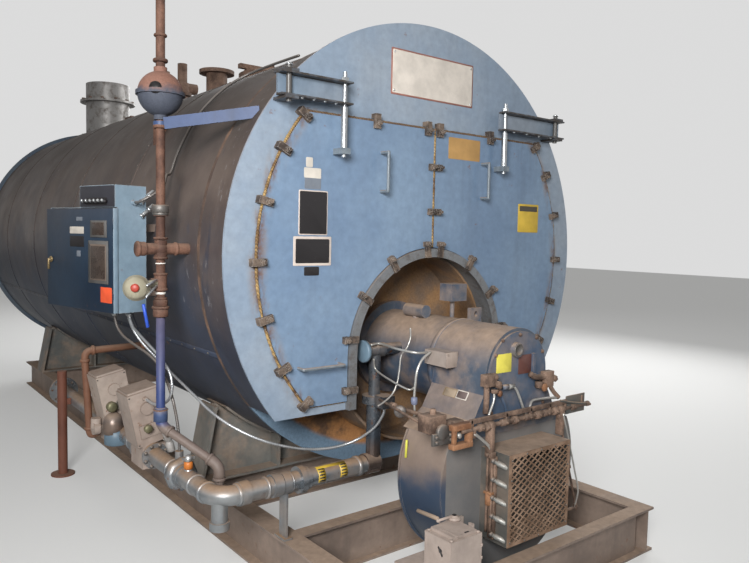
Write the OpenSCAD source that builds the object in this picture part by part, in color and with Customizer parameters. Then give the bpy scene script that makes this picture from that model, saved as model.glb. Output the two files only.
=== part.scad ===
// A packaged fire-tube boiler on a steel skid, with a gas burner, blower and gas train at the front.
// X runs to the right, Y runs back along the shell, Z is up.
// The origin is on the floor below the front plate.

/* [Shell] */
// Height of the shell's axis over the floor
axis_h = 1545; // [1500:1:1700]
// Outer diameter of the insulated jacket
jacket_d = 2330; // [2250:1:2360]
// Thickness of the jacket and its insulation
jacket_wall = 40; // [25:1:60]
// Length of the jacket between the tube sheet and the rear head
jacket_len = 4670; // [4000:1:5400]
// Thickness of the tube sheet and of the rear head
head_t = 30; // [20:1:40]
// Length of the rear casing
rear_len = 670; // [600:1:800]
// Bore of a fire tube where it opens in the tube sheet
tube_d = 62; // [50:1:70]
// Distance between neighbouring fire tubes
tube_pitch = 150; // [120:1:170]

/* [Front] */
// Step from the jacket up to the smokebox casing
casing_step = 8; // [4:1:14]
// Reach of the front plate outside the casing
plate_over = 27; // [18:1:40]
// Thickness of the front plate
plate_t = 12; // [8:1:16]
// Depth of the smokebox behind the front plate
box_depth = 288; // [240:1:340]
// Wall of the smokebox casing
casing_t = 10; // [6:1:14]
// Depth of the straight lower edge below the shell's axis
chord_drop = 750; // [735:1:760]
// Width of the plate that the doors lap over
lap = 40; // [32:1:46]
// Diameter across the outer edge of the doors
doors_d = 2080; // [2060:1:2120]
// Thickness of a door's plate
door_t = 12; // [8:1:16]
// Thickness of the rope gasket
gasket_t = 6; // [4:1:10]
// Depth of the lining behind a door's plate
lining_t = 66; // [50:1:80]
// Height of the doors' top seam over the shell's axis
seam_up = 667; // [650:1:690]
// Gap between the two doors
seam_gap = 8; // [6:1:12]

/* [Doors and davits] */
// Length of a pull handle
handle_len = 190; // [160:1:220]
// Width of a door dog
dog_w = 34; // [28:1:40]
// Distance of a davit's hinge pin from the middle
pin_out = 930; // [915:1:945]
// Reach of the left davit from its pin to the hanger rod
reach_left = 300; // [280:1:330]
// Reach of the right davit from its pin to the hanger rod
reach_right = 450; // [430:1:480]
// Depth of a davit arm
arm_h = 105; // [90:1:120]
// Height of the davit arms over the shell's axis
arm_up = 762; // [756:1:775]
// Diameter of a davit's hinge pin
pin_d = 25; // [20:1:30]
// Diameter of a hanger rod
rod_d = 20; // [16:1:22]

/* [Burner] */
// Drop of the burner's axis below the shell's axis
throat_drop = 494; // [480:1:510]
// Radius of the arch lip
arch_r = 540; // [525:1:550]
// Width of the arch lip's face
lip_w = 45; // [38:1:50]
// Radius of the burner housing
burner_r = 213; // [200:1:225]
// Length of the burner housing in front of the plate
burner_fwd = 620; // [600:1:650]
// Drop of the blower's axis below the shell's axis
blower_drop = 1000; // [990:1:1010]
// Radius of the blower scroll
scroll_r = 455; // [440:1:470]
// Width of the blower scroll
scroll_w = 290; // [270:1:300]
// Radius of the blower motor
motor_r = 145; // [130:1:155]
// Length of the blower motor
motor_len = 340; // [300:1:350]
// Width of the air box
airbox_w = 430; // [410:1:450]
// Height of the air box
airbox_h = 415; // [400:1:425]
// Depth of the air box
airbox_t = 165; // [150:1:180]
// Width of one diamond in the grille
mesh_w = 45; // [42:1:60]
// Height of one diamond in the grille
mesh_h = 30; // [28:1:40]
// Width of a strand in the grille
strand = 5; // [4:1:7]
// Diameter of the jackshaft
shaft_d = 20; // [16:1:22]

/* [Gas line] */
// Outer diameter of the gas pipe
gas_d = 89; // [80:1:95]
// Drop of the gas pipe below the shell's axis
gas_drop = 1050; // [1035:1:1065]
// Distance of the gas pipe outside the jacket's side
gas_out = 60; // [50:1:75]
// Distance of the riser from the boiler's middle plane
riser_x = 360; // [350:1:370]
// Distance from the elbow to the inlet flange
gas_run = 2500; // [2450:1:2600]

/* [Water column] */
// Outer diameter of the column's pipe
column_d = 42; // [38:1:45]
// Distance of the column outside the jacket's side
column_out = 135; // [125:1:155]
// Distance of the column behind the front plate
column_y = 450; // [440:1:470]
// Diameter of the float chamber
chamber_d = 205; // [190:1:215]

/* [Control cabinet] */
// Distance of the cabinet's hinge line outside the jacket's side
cab_out = 255; // [240:1:270]
// Width of the cabinet
cab_w = 650; // [620:1:680]
// Height of the cabinet
cab_h = 640; // [620:1:660]
// Depth of the cabinet
cab_d = 185; // [170:1:190]
// Angle of the cabinet to the shell
cab_turn = 14; // [12:1:16]
// Thickness of the cabinet's door
cab_door_t = 22; // [16:1:28]

/* [Skid and fittings] */
// Drop of the skid's top below the shell's axis
skid_drop = 1310; // [1290:1:1340]
// Width of a skid beam's flange
skid_w = 110; // [90:1:130]
// Distance from the middle plane to the middle of a skid beam
skid_x = 855; // [840:1:870]
// Reach of the skid in front of the front plate
skid_fwd = 830; // [820:1:860]
// Outer diameter of the flue collar
flue_d = 460; // [430:1:500]
// Outer diameter of the steam nozzle's pipe
nozzle_d = 168; // [160:1:170]
// Bolt circle of the steam nozzle's flange
nozzle_pcd = 241.3; // [235:0.1:250]
// Diameter of the flange's bolt holes
bolt_hole = 22.2; // [18:0.1:24]

/* [Hidden] */
$fn = 64;
seat = 0.3;
far = 4000;
jacket_r = jacket_d / 2;
casing_r = jacket_r + casing_step;
plate_r = casing_r + plate_over;
doors_r = doors_d / 2;
burner_z = axis_h - throat_drop;
blower_z = axis_h - blower_drop;
chord_z = axis_h - chord_drop;
seam_z = axis_h + seam_up;
box_y = plate_t + box_depth;
jacket_y = box_y + head_t;
rear_head_y = jacket_y + jacket_len;
rear_box_y = rear_head_y + head_t;
rear_y = rear_box_y + rear_len;
rear_y_end = rear_y + plate_t;
skid_h = axis_h - skid_drop;
skid_end = rear_head_y + 250;
cross_w = 80;
saddle_fwd = 950;
saddle_back = rear_head_y - 350;
saddle_pad = 12;
pad_r = jacket_r + seat + saddle_pad;
wall_r = arch_r - 10;
opening_r = doors_r - lap;
sill = 45;
door_low = chord_drop - sill;
door_front = -(gasket_t + door_t);
lip_front = -30;
lip_t = 8;
liner_r = wall_r - casing_t - 2;
liner_y = 100;
liner_back = 316;
arm_y = -75;
arm_t = 8;
arm_low = arm_up - arm_h / 2;
arm_high = arm_up + arm_h / 2;
burner_drop = throat_drop + 26;
head_z = axis_h - burner_drop;
neck_back = -280;
neck_up = 210;
neck_z = blower_z + neck_up;
neck_half = sqrt(scroll_r * scroll_r - neck_up * neck_up);
scroll_y = -burner_fwd + 10;
scroll_back = scroll_y + scroll_w;
airbox_back = scroll_y - seat;
airbox_y = airbox_back - airbox_t;
airbox_top = axis_h - 836;
airbox_low = airbox_top - airbox_h;
cover_t = 12;
cover_y = -burner_fwd - cover_t;
shaft_y = -burner_fwd - 70;
shaft_z = axis_h - 715;
gas_r = gas_d / 2;
gas_h = axis_h - gas_drop;
gas_x = jacket_r + gas_out;
gas_turn = 100;
column_r = column_d / 2;
column_x = jacket_r + column_out;
chamber_r = chamber_d / 2;
chamber_z = axis_h + 742;
column_top = axis_h + 1520;
column_foot = axis_h - 245;
cab_x = -(jacket_r + cab_out);
cab_y = 755;
cab_z = axis_h - 306;
cab_body_h = cab_h - 110;
flue_r = flue_d / 2;
flue_y = rear_y - 300;
nozzle_y = 2600;
nozzle_top = axis_h + jacket_r + 250;
// Stated tube ends: three rows of four, over the furnace
tube_spots = [for (row = [0 : 2]) for (i = [-1.5 : 1 : 1.5])
    [2 * i * tube_pitch, 250 + 1.2 * row * tube_pitch]];

// Places of the dogs round one door, as angles on its round edge
edge_dogs = [38.7, 28, 14, -1, -15.3, -29.2, -41];
// Routes of the conduits, from the cabinet outward: X from the jacket's side or from the middle plane,
// and Z from the shell's axis
beside = function (p) [for (q = p) [q[0] - jacket_r, q[1], axis_h + q[2]]];
across = function (p) [for (q = p) [q[0], q[1], axis_h + q[2]]];
// A place 20 mm out from the jacket, at an angle over the level
on_jacket = function (a, y) [-(jacket_r + 20) * cos(a), y, axis_h + (jacket_r + 20) * sin(a)];
cabinet_route = beside([
    [-185, 960, -315.3], [-185, 960, -333], [-185, 955, -355], [-180, 930, -400], [-170, 880, -435], [-155, 810, -460],
    [-140, 730, -480], [-125, 650, -500], [-110, 580, -530], [-97, 530, -570], [-85, 495, -620],
    [-75, 470, -675], [-67, 450, -735], [-61, 435, -795], [-57, 425, -855], [-55, 420, -905],
    [-55, 420, -945]]);
valve_route = beside([
    [-135, 880, -315.3], [-135, 880, -331], [-135, 870, -355], [-133, 830, -390], [-125, 760, -420], [-115, 670, -455],
    [-105, 580, -490], [-97, 500, -525], [-91, 450, -565], [-87, 430, -615], [-89, 435, -665],
    [-95, 465, -705], [-107, 510, -730], [-115, 560, -740], [-115, 610, -745], [-111, 660, -747],
    [-110, 682, -747], [-110, 705, -747]]);
burner_route = concat(
    beside([
        [-125, 930, -315.3], [-125, 930, -331], [-121, 920, -365], [-103, 895, -425], [-70, 860, -485], [-30, 805, -545],
        [5, 730, -600], [30, 650, -645], [45, 560, -680], [55, 470, -710], [70, 390, -745],
        [95, 310, -780], [135, 240, -815], [190, 190, -850], [260, 155, -885]]),
    across([
        [-825, 130, -915], [-740, 110, -940], [-655, 95, -955], [-570, 80, -960], [-490, 60, -950],
        [-435, 30, -925], [-410, -12, -890], [-382, -50, -845], [-370, -76, -800],
        [-366, -90, -770], [-366, -90, -745.3]]));
jacket_places = [
    [20.5, 800], [25.5, 820], [30.6, 835], [35.5, 865], [40.2, 885], [44.9, 895], [49.8, 910],
    [54.4, 915], [58.2, 885], [60.4, 800], [61.2, 700], [61.2, 600], [61.0, 500], [60.4, 400]];
jacket_route = concat(
    beside([
        [-143.3, 761.8, 250], [-138.6, 743, 250], [-134, 730, 253], [-123, 716, 261], [-97, 700, 277], [-67, 698, 297],
        [-35, 706, 321], [-7, 726, 355], [17, 760, 397]]),
    [for (p = jacket_places) on_jacket(p[0], p[1])]);
cord_r = 7;

module ycyl(r, y0, y1, x = 0, z = 0) translate([x, y0, z]) rotate([-90, 0, 0]) cylinder(r = r, h = y1 - y0);
module xcyl(r, x0, x1, y = 0, z = 0) translate([x0, y, z]) rotate([0, 90, 0]) cylinder(r = r, h = x1 - x0);
module zcyl(r, z0, z1, x = 0, y = 0) translate([x, y, z0]) cylinder(r = r, h = z1 - z0);
module block(x0, x1, y0, y1, z0, z1) translate([x0, y0, z0]) cube([x1 - x0, y1 - y0, z1 - z0]);
// The space the jacket fills, to cut a piece that sits on it
module shell_space() ycyl(jacket_r + seat, 0, rear_y + 1, 0, axis_h, $fn = 360);
// A flat outline in X and Z, carried along Y
module yplate(y0, y1) translate([0, y1, 0]) rotate([90, 0, 0]) linear_extrude(y1 - y0) children();
// A round bar from one point to another
module bar(a, b, r) {
    d = b - a;
    translate(a)
        rotate([0, acos(d[2] / norm(d)), atan2(d[1], d[0])])
            cylinder(r = r, h = norm(d));
}
// A quarter bend about the Z axis, from +X to +Y, of a pipe of radius r
module bend(turn, r) rotate_extrude(angle = 90) translate([turn, 0]) circle(r);
// A ring flange on Y with its holes
module yflange(r, bore, y0, y1, pcd, holes, hole_r, x = 0, z = 0)
    difference() {
        ycyl(r, y0, y1, x, z);
        if (bore > 0) ycyl(bore, y0 - 1, y1 + 1, x, z);
        for (i = [0 : holes - 1])
            ycyl(hole_r, y0 - 1, y1 + 1, x + pcd / 2 * cos(360 * (i + 0.5) / holes),
                z + pcd / 2 * sin(360 * (i + 0.5) / holes));
    }
// A free cord: one skin round the route's own points, eight sides to a ring
function unit(v) = v / norm(v);
function heading(p, i) = unit(p[min(i + 1, len(p) - 1)] - p[max(i - 1, 0)]);
module cord(p, r) {
    sides = 8;
    side = unit(cross(heading(p, 0), [0.31, 0.93, 0.2]));
    rings = [for (i = [0 : len(p) - 1])
        let (t = heading(p, i), a = unit(cross(t, [0.31, 0.93, 0.2])), b = cross(t, a))
            for (k = [0 : sides - 1]) p[i] + r * (cos(360 * k / sides) * a + sin(360 * k / sides) * b)];
    last = sides * (len(p) - 1);
    skin = [for (i = [0 : len(p) - 2]) for (k = [0 : sides - 1])
        [sides * i + k, sides * i + (k + 1) % sides,
            sides * (i + 1) + (k + 1) % sides, sides * (i + 1) + k]];
    caps = [[for (k = [sides - 1 : -1 : 0]) k], [for (k = [0 : sides - 1]) last + k]];
    polyhedron(rings, concat(skin, caps));
}

// Outline helpers in X and Z, about the shell's axis
module upper_disc(r, cut) translate([0, axis_h]) intersection() {
    circle(r);
    translate([-r, -cut]) square([2 * r, 2 * r]);
}
// An arch over straight legs that end at the chord
module arch(r, foot = chord_z) {
    translate([0, burner_z]) circle(r);
    translate([-r, foot]) square([2 * r, burner_z - foot]);
}
// The arch, without what would hang below the chord
module arch_cut(r) intersection() {
    arch(r);
    translate([-far / 2, chord_z]) square([far, far]);
}

module i_profile(h, w) {
    flange = 12;
    web = 8;
    translate([-w / 2, 0]) square([w, flange]);
    translate([-w / 2, h - flange]) square([w, flange]);
    translate([-web / 2, 0]) square([web, h]);
}
module skid_beam(side) color("dimgray")
    translate([side * skid_x, 0, 0])
        yplate(-skid_fwd, skid_end) i_profile(skid_h, skid_w);
module skid_beam_left() skid_beam(-1);
module skid_beam_right() skid_beam(1);
module skid_cross_members() color("dimgray") {
    inner = skid_x - skid_w / 2;
    for (y = [-skid_fwd + cross_w / 2, 0, saddle_fwd, saddle_back, skid_end - cross_w / 2])
        translate([-inner, y, 0]) rotate([90, 0, 90]) linear_extrude(2 * inner) i_profile(skid_h, cross_w);
}

module saddle(y) color("slategray") {
    base_half = skid_x + skid_w / 2;
    top_half = 830;
    top_z = axis_h - 880;
    web_t = 16;
    stiff_w = 200;
    base_t = 15;
    edge = 18;
    z0 = skid_h + base_t;
    yplate(y - web_t / 2, y + web_t / 2)
        difference() {
            polygon([[-base_half, z0], [base_half, z0], [top_half, top_z], [-top_half, top_z]]);
            translate([0, axis_h]) circle(pad_r - saddle_pad / 2);
        }
    yplate(y - stiff_w / 2, y + stiff_w / 2)
        for (s = [-1, 1])
            difference() {
                polygon([[s * base_half, z0], [s * top_half, top_z],
                    [s * (top_half - edge), top_z], [s * (base_half - edge), z0]]);
                translate([0, axis_h]) circle(pad_r - saddle_pad / 2);
            }
    yplate(y - stiff_w / 2, y + stiff_w / 2)
        for (s = [-0.45, 0.45])
            difference() {
                translate([s * base_half - edge / 2, z0]) square([edge, top_z - z0]);
                translate([0, axis_h]) circle(pad_r - saddle_pad / 2);
            }
    yplate(y - stiff_w / 2 - 25, y + stiff_w / 2 + 25)
        difference() {
            intersection() {
                translate([0, axis_h]) circle(pad_r);
                translate([-top_half, skid_h]) square([2 * top_half, top_z - skid_h]);
            }
            translate([0, axis_h]) circle(jacket_r + seat);
        }
    difference() {
        block(-base_half, base_half, y - stiff_w / 2, y + stiff_w / 2, skid_h, z0);
        shell_space();
    }
}
module front_saddle() saddle(saddle_fwd);
module rear_saddle() saddle(saddle_back);

module shell_jacket() color([0.36, 0.31, 0.31]) difference() {
    ycyl(jacket_r, jacket_y, rear_head_y - seat, 0, axis_h);
    ycyl(jacket_r - jacket_wall, jacket_y - 1, rear_head_y + 1, 0, axis_h);
}
module front_tube_sheet() color([0.45, 0.33, 0.28]) difference() {
    ycyl(casing_r, box_y, jacket_y - seat, 0, axis_h);
    ycyl(liner_r + seat, box_y - 1, jacket_y + 1, 0, burner_z);
    // The tube ends, each with the sheet's back left behind it
    for (p = tube_spots)
        ycyl(tube_d / 2, box_y - 1, jacket_y - 5, p[0], axis_h + p[1]);
}
module smokebox_casing() color([0.36, 0.31, 0.31]) yplate(plate_t + seat, box_y - seat) difference() {
    upper_disc(casing_r, chord_drop);
    upper_disc(casing_r - casing_t, chord_drop - casing_t);
    arch_cut(wall_r + seat);
}
module front_plate() color([0.45, 0.57, 0.7]) yplate(0, plate_t) difference() {
    upper_disc(plate_r, chord_drop);
    difference() {
        intersection() {
            upper_disc(opening_r, door_low - lap);
            translate([-far / 2, 0]) square([far, seam_z - lap]);
        }
        arch(wall_r + lap + casing_t);
        translate([-lap, 0]) square([2 * lap, far]);
    }
    arch(wall_r + seat);
}
module burner_throat() color([0.5, 0.55, 0.6]) {
    yplate(lip_front, box_y - seat) difference() {
        arch_cut(wall_r);
        arch(wall_r - casing_t, 0);
    }
    yplate(lip_front, lip_front + lip_t) difference() {
        arch_cut(arch_r);
        arch(arch_r - lip_w, 0);
    }
    yplate(lip_front, -seat) difference() {
        arch_cut(arch_r);
        arch(wall_r, 0);
    }
}
module furnace_liner() color([0.66, 0.58, 0.48]) {
    wall = 13;
    difference() {
        ycyl(liner_r, liner_y, liner_back + wall, 0, burner_z);
        ycyl(liner_r - wall, liner_y - 1, liner_back, 0, burner_z);
    }
}

// One door's outline: set in by o at its outer edges, and by s at the seam and the arch
module door_outline(side, o, s) difference() {
    top = seam_z;
    low = axis_h - door_low;
    intersection() {
        translate([0, axis_h]) circle(doors_r - o);
        translate([side > 0 ? seam_gap / 2 + s : -far / 2, low + o])
            square([far / 2 - seam_gap / 2 - s, top - low - 2 * o]);
    }
    arch(arch_r + 5 + s, 0);
}
module handle(a, b, out) {
    grip = 8;
    front = door_front - out;
    for (p = [a, b])
        ycyl(grip, front, door_front + 1, p[0], p[1]);
    for (p = [a, b])
        translate([p[0], front, p[1]]) sphere(grip);
    bar([a[0], front, a[1]], [b[0], front, b[1]], grip);
}
module door(side, reach) {
    hang_x = side * (pin_out - reach);
    yplate(door_front, -gasket_t) door_outline(side, 0, 0);
    yplate(-gasket_t, lining_t - gasket_t)
        door_outline(side, lap + 15, lap + 7);
    handle([side * 360, axis_h + 423 - handle_len / 2], [side * 360, axis_h + 423 + handle_len / 2], 58);
    handle([side * 600, axis_h - 512], [side * (600 + 1.2 * handle_len), axis_h - 512], 50);
    difference() {
        block(hang_x - 24, hang_x + 24, arm_y - 20, door_front + 1, axis_h + 484, axis_h + 512);
        zcyl(rod_d / 2 + seat, axis_h + 480, axis_h + 520, hang_x, arm_y);
    }
}
module left_door() color([0.47, 0.6, 0.74]) door(-1, reach_left);
module right_door() color([0.42, 0.53, 0.66]) door(1, reach_right);
module gasket(side) color([0.62, 0.5, 0.32]) yplate(-gasket_t, -seat) difference() {
    door_outline(side, -8, 2);
    door_outline(side, 14, 22);
}
module left_door_gasket() gasket(-1);
module right_door_gasket() gasket(1);

// A dog that clamps a door's edge: a bar across the edge with a heel outside it, a bolt and its nut
module dog(heel = true) {
    bar_t = 20;
    front = door_front - bar_t;
    translate([-38, front, -dog_w / 2]) cube([heel ? 72 : 34, bar_t - seat, dog_w]);
    if (heel) translate([12, front, -dog_w / 2]) cube([22, -seat - front, dog_w]);
    stud_x = heel ? -14 : -21;
    ycyl(8, front - 26, front, stud_x, 0);
    translate([stud_x, front - 12, 0]) rotate([-90, 0, 0]) cylinder(r = 14, h = 12, $fn = 6);
}
// A finger that reaches from the door over the arch's lip
module arch_dog() {
    front = door_front - 26;
    finger = lip_front - seat;
    translate([-50, front, -dog_w / 2]) cube([84, finger - front, dog_w]);
    translate([8, finger - 0.1, -dog_w / 2]) cube([26, door_front - seat - finger + 0.1, dog_w]);
    ycyl(8, front - 22, front, 20, 0);
    translate([20, front - 12, 0]) rotate([-90, 0, 0]) cylinder(r = 14, h = 12, $fn = 6);
}
module hanger_rod(side, reach) {
    x = side * (pin_out - reach);
    zcyl(rod_d / 2, axis_h + 470, axis_h + arm_high + 45, x, arm_y);
    difference() {
        zcyl(rod_d / 2 + 6, axis_h + 512 + seat, axis_h + arm_low - 12, x, arm_y);
        zcyl(rod_d / 2 - 1, axis_h + 500, axis_h + arm_low, x, arm_y);
    }
    translate([x, arm_y, axis_h + arm_high + seat]) cylinder(r = 19, h = 18, $fn = 6);
}
module dogs(side, reach) {
    // The dogs on the round edge
    for (a = edge_dogs)
        translate([side * doors_r * cos(a), 0, axis_h + doors_r * sin(a)])
            rotate([0, side > 0 ? -a : a - 180, 0]) translate([4, 0, 0]) dog();
    // The dogs on the top seam
    for (x = side < 0 ? [-397, -58] : [28, 416])
        translate([x, 0, seam_z]) rotate([0, -90, 0]) translate([4, 0, 0]) dog();
    // The dogs on the upright seam, one half on each door
    for (z = [240, 473])
        translate([side * seam_gap / 2, 0, axis_h + z]) rotate([0, side > 0 ? 180 : 0, 0]) dog(false);
    // The dogs on the arch and its legs
    for (a = [85, 59, 33])
        translate([side * (arch_r + 5) * cos(a), 0, burner_z + (arch_r + 5) * sin(a)])
            rotate([0, side > 0 ? -a : a - 180, 0]) arch_dog();
    for (z = [94, -155])
        translate([side * (arch_r + 5), 0, burner_z + z]) rotate([0, side > 0 ? 0 : 180, 0]) arch_dog();
    hanger_rod(side, reach);
}
module left_door_dogs() color([0.45, 0.36, 0.3]) dogs(-1, reach_left);
module right_door_dogs() color([0.45, 0.36, 0.3]) dogs(1, reach_right);

// A davit arm: a channel that opens to the front, bored for its pin and for the hanger rod
module davit_arm(side, reach) {
    tail = 50;
    nose = 30;
    depth = 52;
    x0 = pin_out - reach - nose;
    x1 = pin_out + tail;
    left = side > 0 ? x0 : -x1;
    right = side > 0 ? x1 : -x0;
    back = arm_y + 22;
    difference() {
        union() {
            for (z = [arm_low, arm_high - arm_t])
                block(left, right, back - depth, back, axis_h + z, axis_h + z + arm_t);
            block(left, right, back - arm_t, back, axis_h + arm_low, axis_h + arm_high);
        }
        zcyl(pin_d / 2 + seat, axis_h + arm_low - 1, axis_h + arm_high + 1, side * pin_out, arm_y);
        zcyl(rod_d / 2 + seat, axis_h + arm_low - 1, axis_h + arm_high + 1,
            side * (pin_out - reach), arm_y);
    }
}
module left_davit_arm() color([0.42, 0.54, 0.67]) davit_arm(-1, reach_left);
module right_davit_arm() color([0.42, 0.54, 0.67]) davit_arm(1, reach_right);
module davit_brackets() color([0.4, 0.48, 0.58]) {
    lug_t = 12;
    lug_w = 70;
    for (side = [-1, 1]) {
        for (z = [arm_low - seat - lug_t, arm_high + seat])
            block(side * pin_out - lug_w / 2, side * pin_out + lug_w / 2, arm_y - 30, -seat,
                axis_h + z, axis_h + z + lug_t);
        zcyl(pin_d / 2, axis_h + arm_low - lug_t - 12, axis_h + arm_high + lug_t + 16,
            side * pin_out, arm_y);
    }
}

module burner_housing() color([0.32, 0.42, 0.55]) {
    band = 47;
    ycyl(burner_r, -burner_fwd, liner_back - 14, 0, head_z);
    ycyl(burner_r + band, liner_back - 34, liner_back - seat, 0, head_z);
    yplate(-burner_fwd, neck_back)
        polygon([[-burner_r, head_z], [-222, head_z - 80], [-285, head_z - 190], [-neck_half, neck_z],
            [neck_half, neck_z], [285, head_z - 190], [222, head_z - 80], [burner_r, head_z]]);
    // The lifting lug on top
    difference() {
        yplate(-210, -190) difference() {
            translate([105, head_z + 130]) square([85, 130]);
            translate([148, head_z + 228]) circle(14);
        }
    }
    // The little box on its stem
    zcyl(12, head_z + burner_r - 10, head_z + 300, 60, -120);
    block(10, 120, -165, -75, head_z + 295, head_z + 385);
    // The device at the rear of the top
    ycyl(34, -60, 90, -70, head_z + 236);
    zcyl(16, head_z + 190, head_z + 230, -70, 20);
}
module burner_cover() color([0.27, 0.36, 0.5]) difference() {
    cover_r = burner_r - 14;
    low = head_z - 180;
    port_up = 116;
    union() {
        yplate(cover_y, -burner_fwd - seat) {
            translate([0, head_z]) circle(cover_r);
            translate([-cover_r, low]) square([2 * cover_r, head_z - low]);
        }
        // The sight port and its collar
        ycyl(34, cover_y - 22, cover_y + 1, -30, head_z + port_up);
        // The lever that holds the cover
        yplate(cover_y - 14, cover_y + 1) translate([88, head_z - 30]) square([16, 118]);
        ycyl(15, cover_y - 26, cover_y + 1, 96, head_z - 22);
    }
    ycyl(22, cover_y - 23, cover_y - 8, -30, head_z + port_up);
}
module scroll_outline(r) intersection() {
    translate([0, blower_z]) circle(r);
    translate([-far / 2, neck_z - seat - far]) square([far, far]);
}
module blower_scroll() color([0.3, 0.4, 0.53]) {
    rim = 10;
    yplate(scroll_y, scroll_back) scroll_outline(scroll_r);
    for (y = [scroll_y, scroll_back - 8])
        yplate(y, y + 8) scroll_outline(scroll_r + rim);
}
module blower_motor() color([0.25, 0.33, 0.45]) {
    back = scroll_back + motor_len;
    ycyl(motor_r, scroll_back + seat, back - 60, 0, blower_z);
    ycyl(motor_r - 12, back - 70, back, 0, blower_z);
    ycyl(motor_r + 22, scroll_back + seat, scroll_back + 22, 0, blower_z);
    for (i = [0 : 17])
        translate([0, 0, blower_z]) rotate([0, 20 * i, 0])
            block(motor_r - 3, motor_r + 9, scroll_back + 50, back - 70, -3, 3);
    block(motor_r - 20, motor_r + 75, scroll_back + 90, scroll_back + 200, blower_z - 55, blower_z + 55);
}
module air_box() color([0.33, 0.4, 0.5]) {
    wall = 4;
    half = airbox_w / 2;
    difference() {
        block(-half, half, airbox_y, airbox_back, airbox_low, airbox_top);
        block(-half + wall, half - wall, airbox_y - 1, airbox_back - wall,
            airbox_low + wall, airbox_top - wall);
    }
}
module air_box_grille() color([0.5, 0.5, 0.5]) {
    half = airbox_w / 2;
    rim = 16;
    mid = (airbox_low + airbox_top) / 2;
    thick = 4;
    y = airbox_y - seat;
    yplate(y - thick, y) {
        difference() {
            translate([-half, airbox_low]) square([airbox_w, airbox_h]);
            translate([-half + rim, airbox_low + rim]) square([airbox_w - 2 * rim, airbox_h - 2 * rim]);
        }
        difference() {
            translate([-half + 1, airbox_low + 1]) square([airbox_w - 2, airbox_h - 2]);
            for (i = [-5 : 5]) for (j = [-7 : 7]) for (h = [0, 0.5])
                if (abs((i + h) * mesh_w) < half - rim / 2
                    && abs((j + h) * mesh_h) < airbox_h / 2 - rim / 2)
                    translate([(i + h) * mesh_w, mid + (j + h) * mesh_h])
                        polygon([[-mesh_w / 2 + strand, 0], [0, -mesh_h / 2 + strand * mesh_h / mesh_w],
                            [mesh_w / 2 - strand, 0], [0, mesh_h / 2 - strand * mesh_h / mesh_w]]);
        }
    }
}
module damper_linkage() color([0.4, 0.38, 0.36]) {
    half = airbox_w / 2;
    mid_y = (airbox_y + airbox_back) / 2;
    // The cam strip with its screws, on the left side
    block(-half - 7, -half - seat, mid_y - 20, mid_y + 20, airbox_low + 20, airbox_top - 15);
    for (k = [0 : 4])
        xcyl(9, -half - 47, -half - 6, mid_y, airbox_low + 60 + 70 * k);
    // The crank and its long rod, on the right side
    xcyl(12, half + seat, half + 42, mid_y, airbox_low + 101);
    block(half + 30, half + 40, mid_y - 12, mid_y + 12, airbox_low + 90, airbox_low + 170);
    bar([half + 47, mid_y, airbox_low + 160], [430, shaft_y, shaft_z - 55], 6);
    bar([half + 30, mid_y, airbox_low + 160], [half + 50, mid_y, airbox_low + 160], 7);
}
module jackshaft() color([0.42, 0.42, 0.44]) {
    xcyl(shaft_d / 2, -430, 480, shaft_y, shaft_z);
    for (x = [-250, 250]) {
        block(x - 6, x + 6, shaft_y - 20, -burner_fwd - seat, shaft_z - 24, shaft_z + 24);
        xcyl(18, x - 14, x + 14, shaft_y, shaft_z);
    }
    block(424, 436, shaft_y - 12, shaft_y + 12, shaft_z - 48, shaft_z + 14);
    xcyl(16, 418, 442, shaft_y, shaft_z);
    block(-396, -384, shaft_y - 75, shaft_y + 12, shaft_z - 12, shaft_z + 12);
    xcyl(16, -404, -376, shaft_y, shaft_z);
    // The long rod down to the motor's lever
    bar([-378, shaft_y - 66, shaft_z], [-500, -850, axis_h - 1030], 6);
    xcyl(8, -392, -372, shaft_y - 66, shaft_z);
}
motor_box = [170, 147, 190];
motor_at = [-710, -925, axis_h - 1230];
module modulating_motor() color([0.5, 0.53, 0.58]) {
    x1 = motor_at[0] + motor_box[0];
    translate(motor_at) cube(motor_box);
    translate(motor_at + [20, 12, motor_box[2] - 1]) cube(motor_box - [40, 24, 176]);
    // The lever on the motor's shaft
    xcyl(16, x1 - 1, x1 + 22, motor_at[1] + 75, axis_h - 1110);
    block(x1 + 12, x1 + 22, motor_at[1] + 63, motor_at[1] + 87, axis_h - 1122, axis_h - 1034);
    // The shelf, and the foot it is bolted by
    block(motor_at[0] - 10, x1 + 10, motor_at[1] - 8, scroll_y - seat, axis_h - 1242, axis_h - 1229);
    block(x1 + 9, -330, scroll_y - 60, scroll_y - seat, axis_h - 1242, axis_h - 1229);
    block(-470, -330, scroll_y - 12, scroll_y - seat, axis_h - 1242, axis_h - 1130);
}
module fuel_valve() color([0.42, 0.38, 0.35]) {
    z = axis_h - 715;
    ycyl(20, -600, -125 - seat, -385, z);
    block(-560, -420, -640, -545, z - 25, z + 73);
    zcyl(38, z + 72, z + 120, -480, -592);
    xcyl(24, -421, -362, -592, z);
    ycyl(30, -470, -430, -385, z);
    ycyl(30, -250, -215, -385, z);
    // The little manifold in front of the head
    block(-380, -330, -610, -560, z + 20, z + 130);
    bar([-355, -585, z + 110], [-226, -562, z + 157], 9);
}
module junction_box() color([0.62, 0.62, 0.58]) difference() {
    block(-275, -205, -430, -280, axis_h - 500, axis_h - 430);
    ycyl(burner_r + seat, -450, -270, 0, head_z);
}

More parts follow.
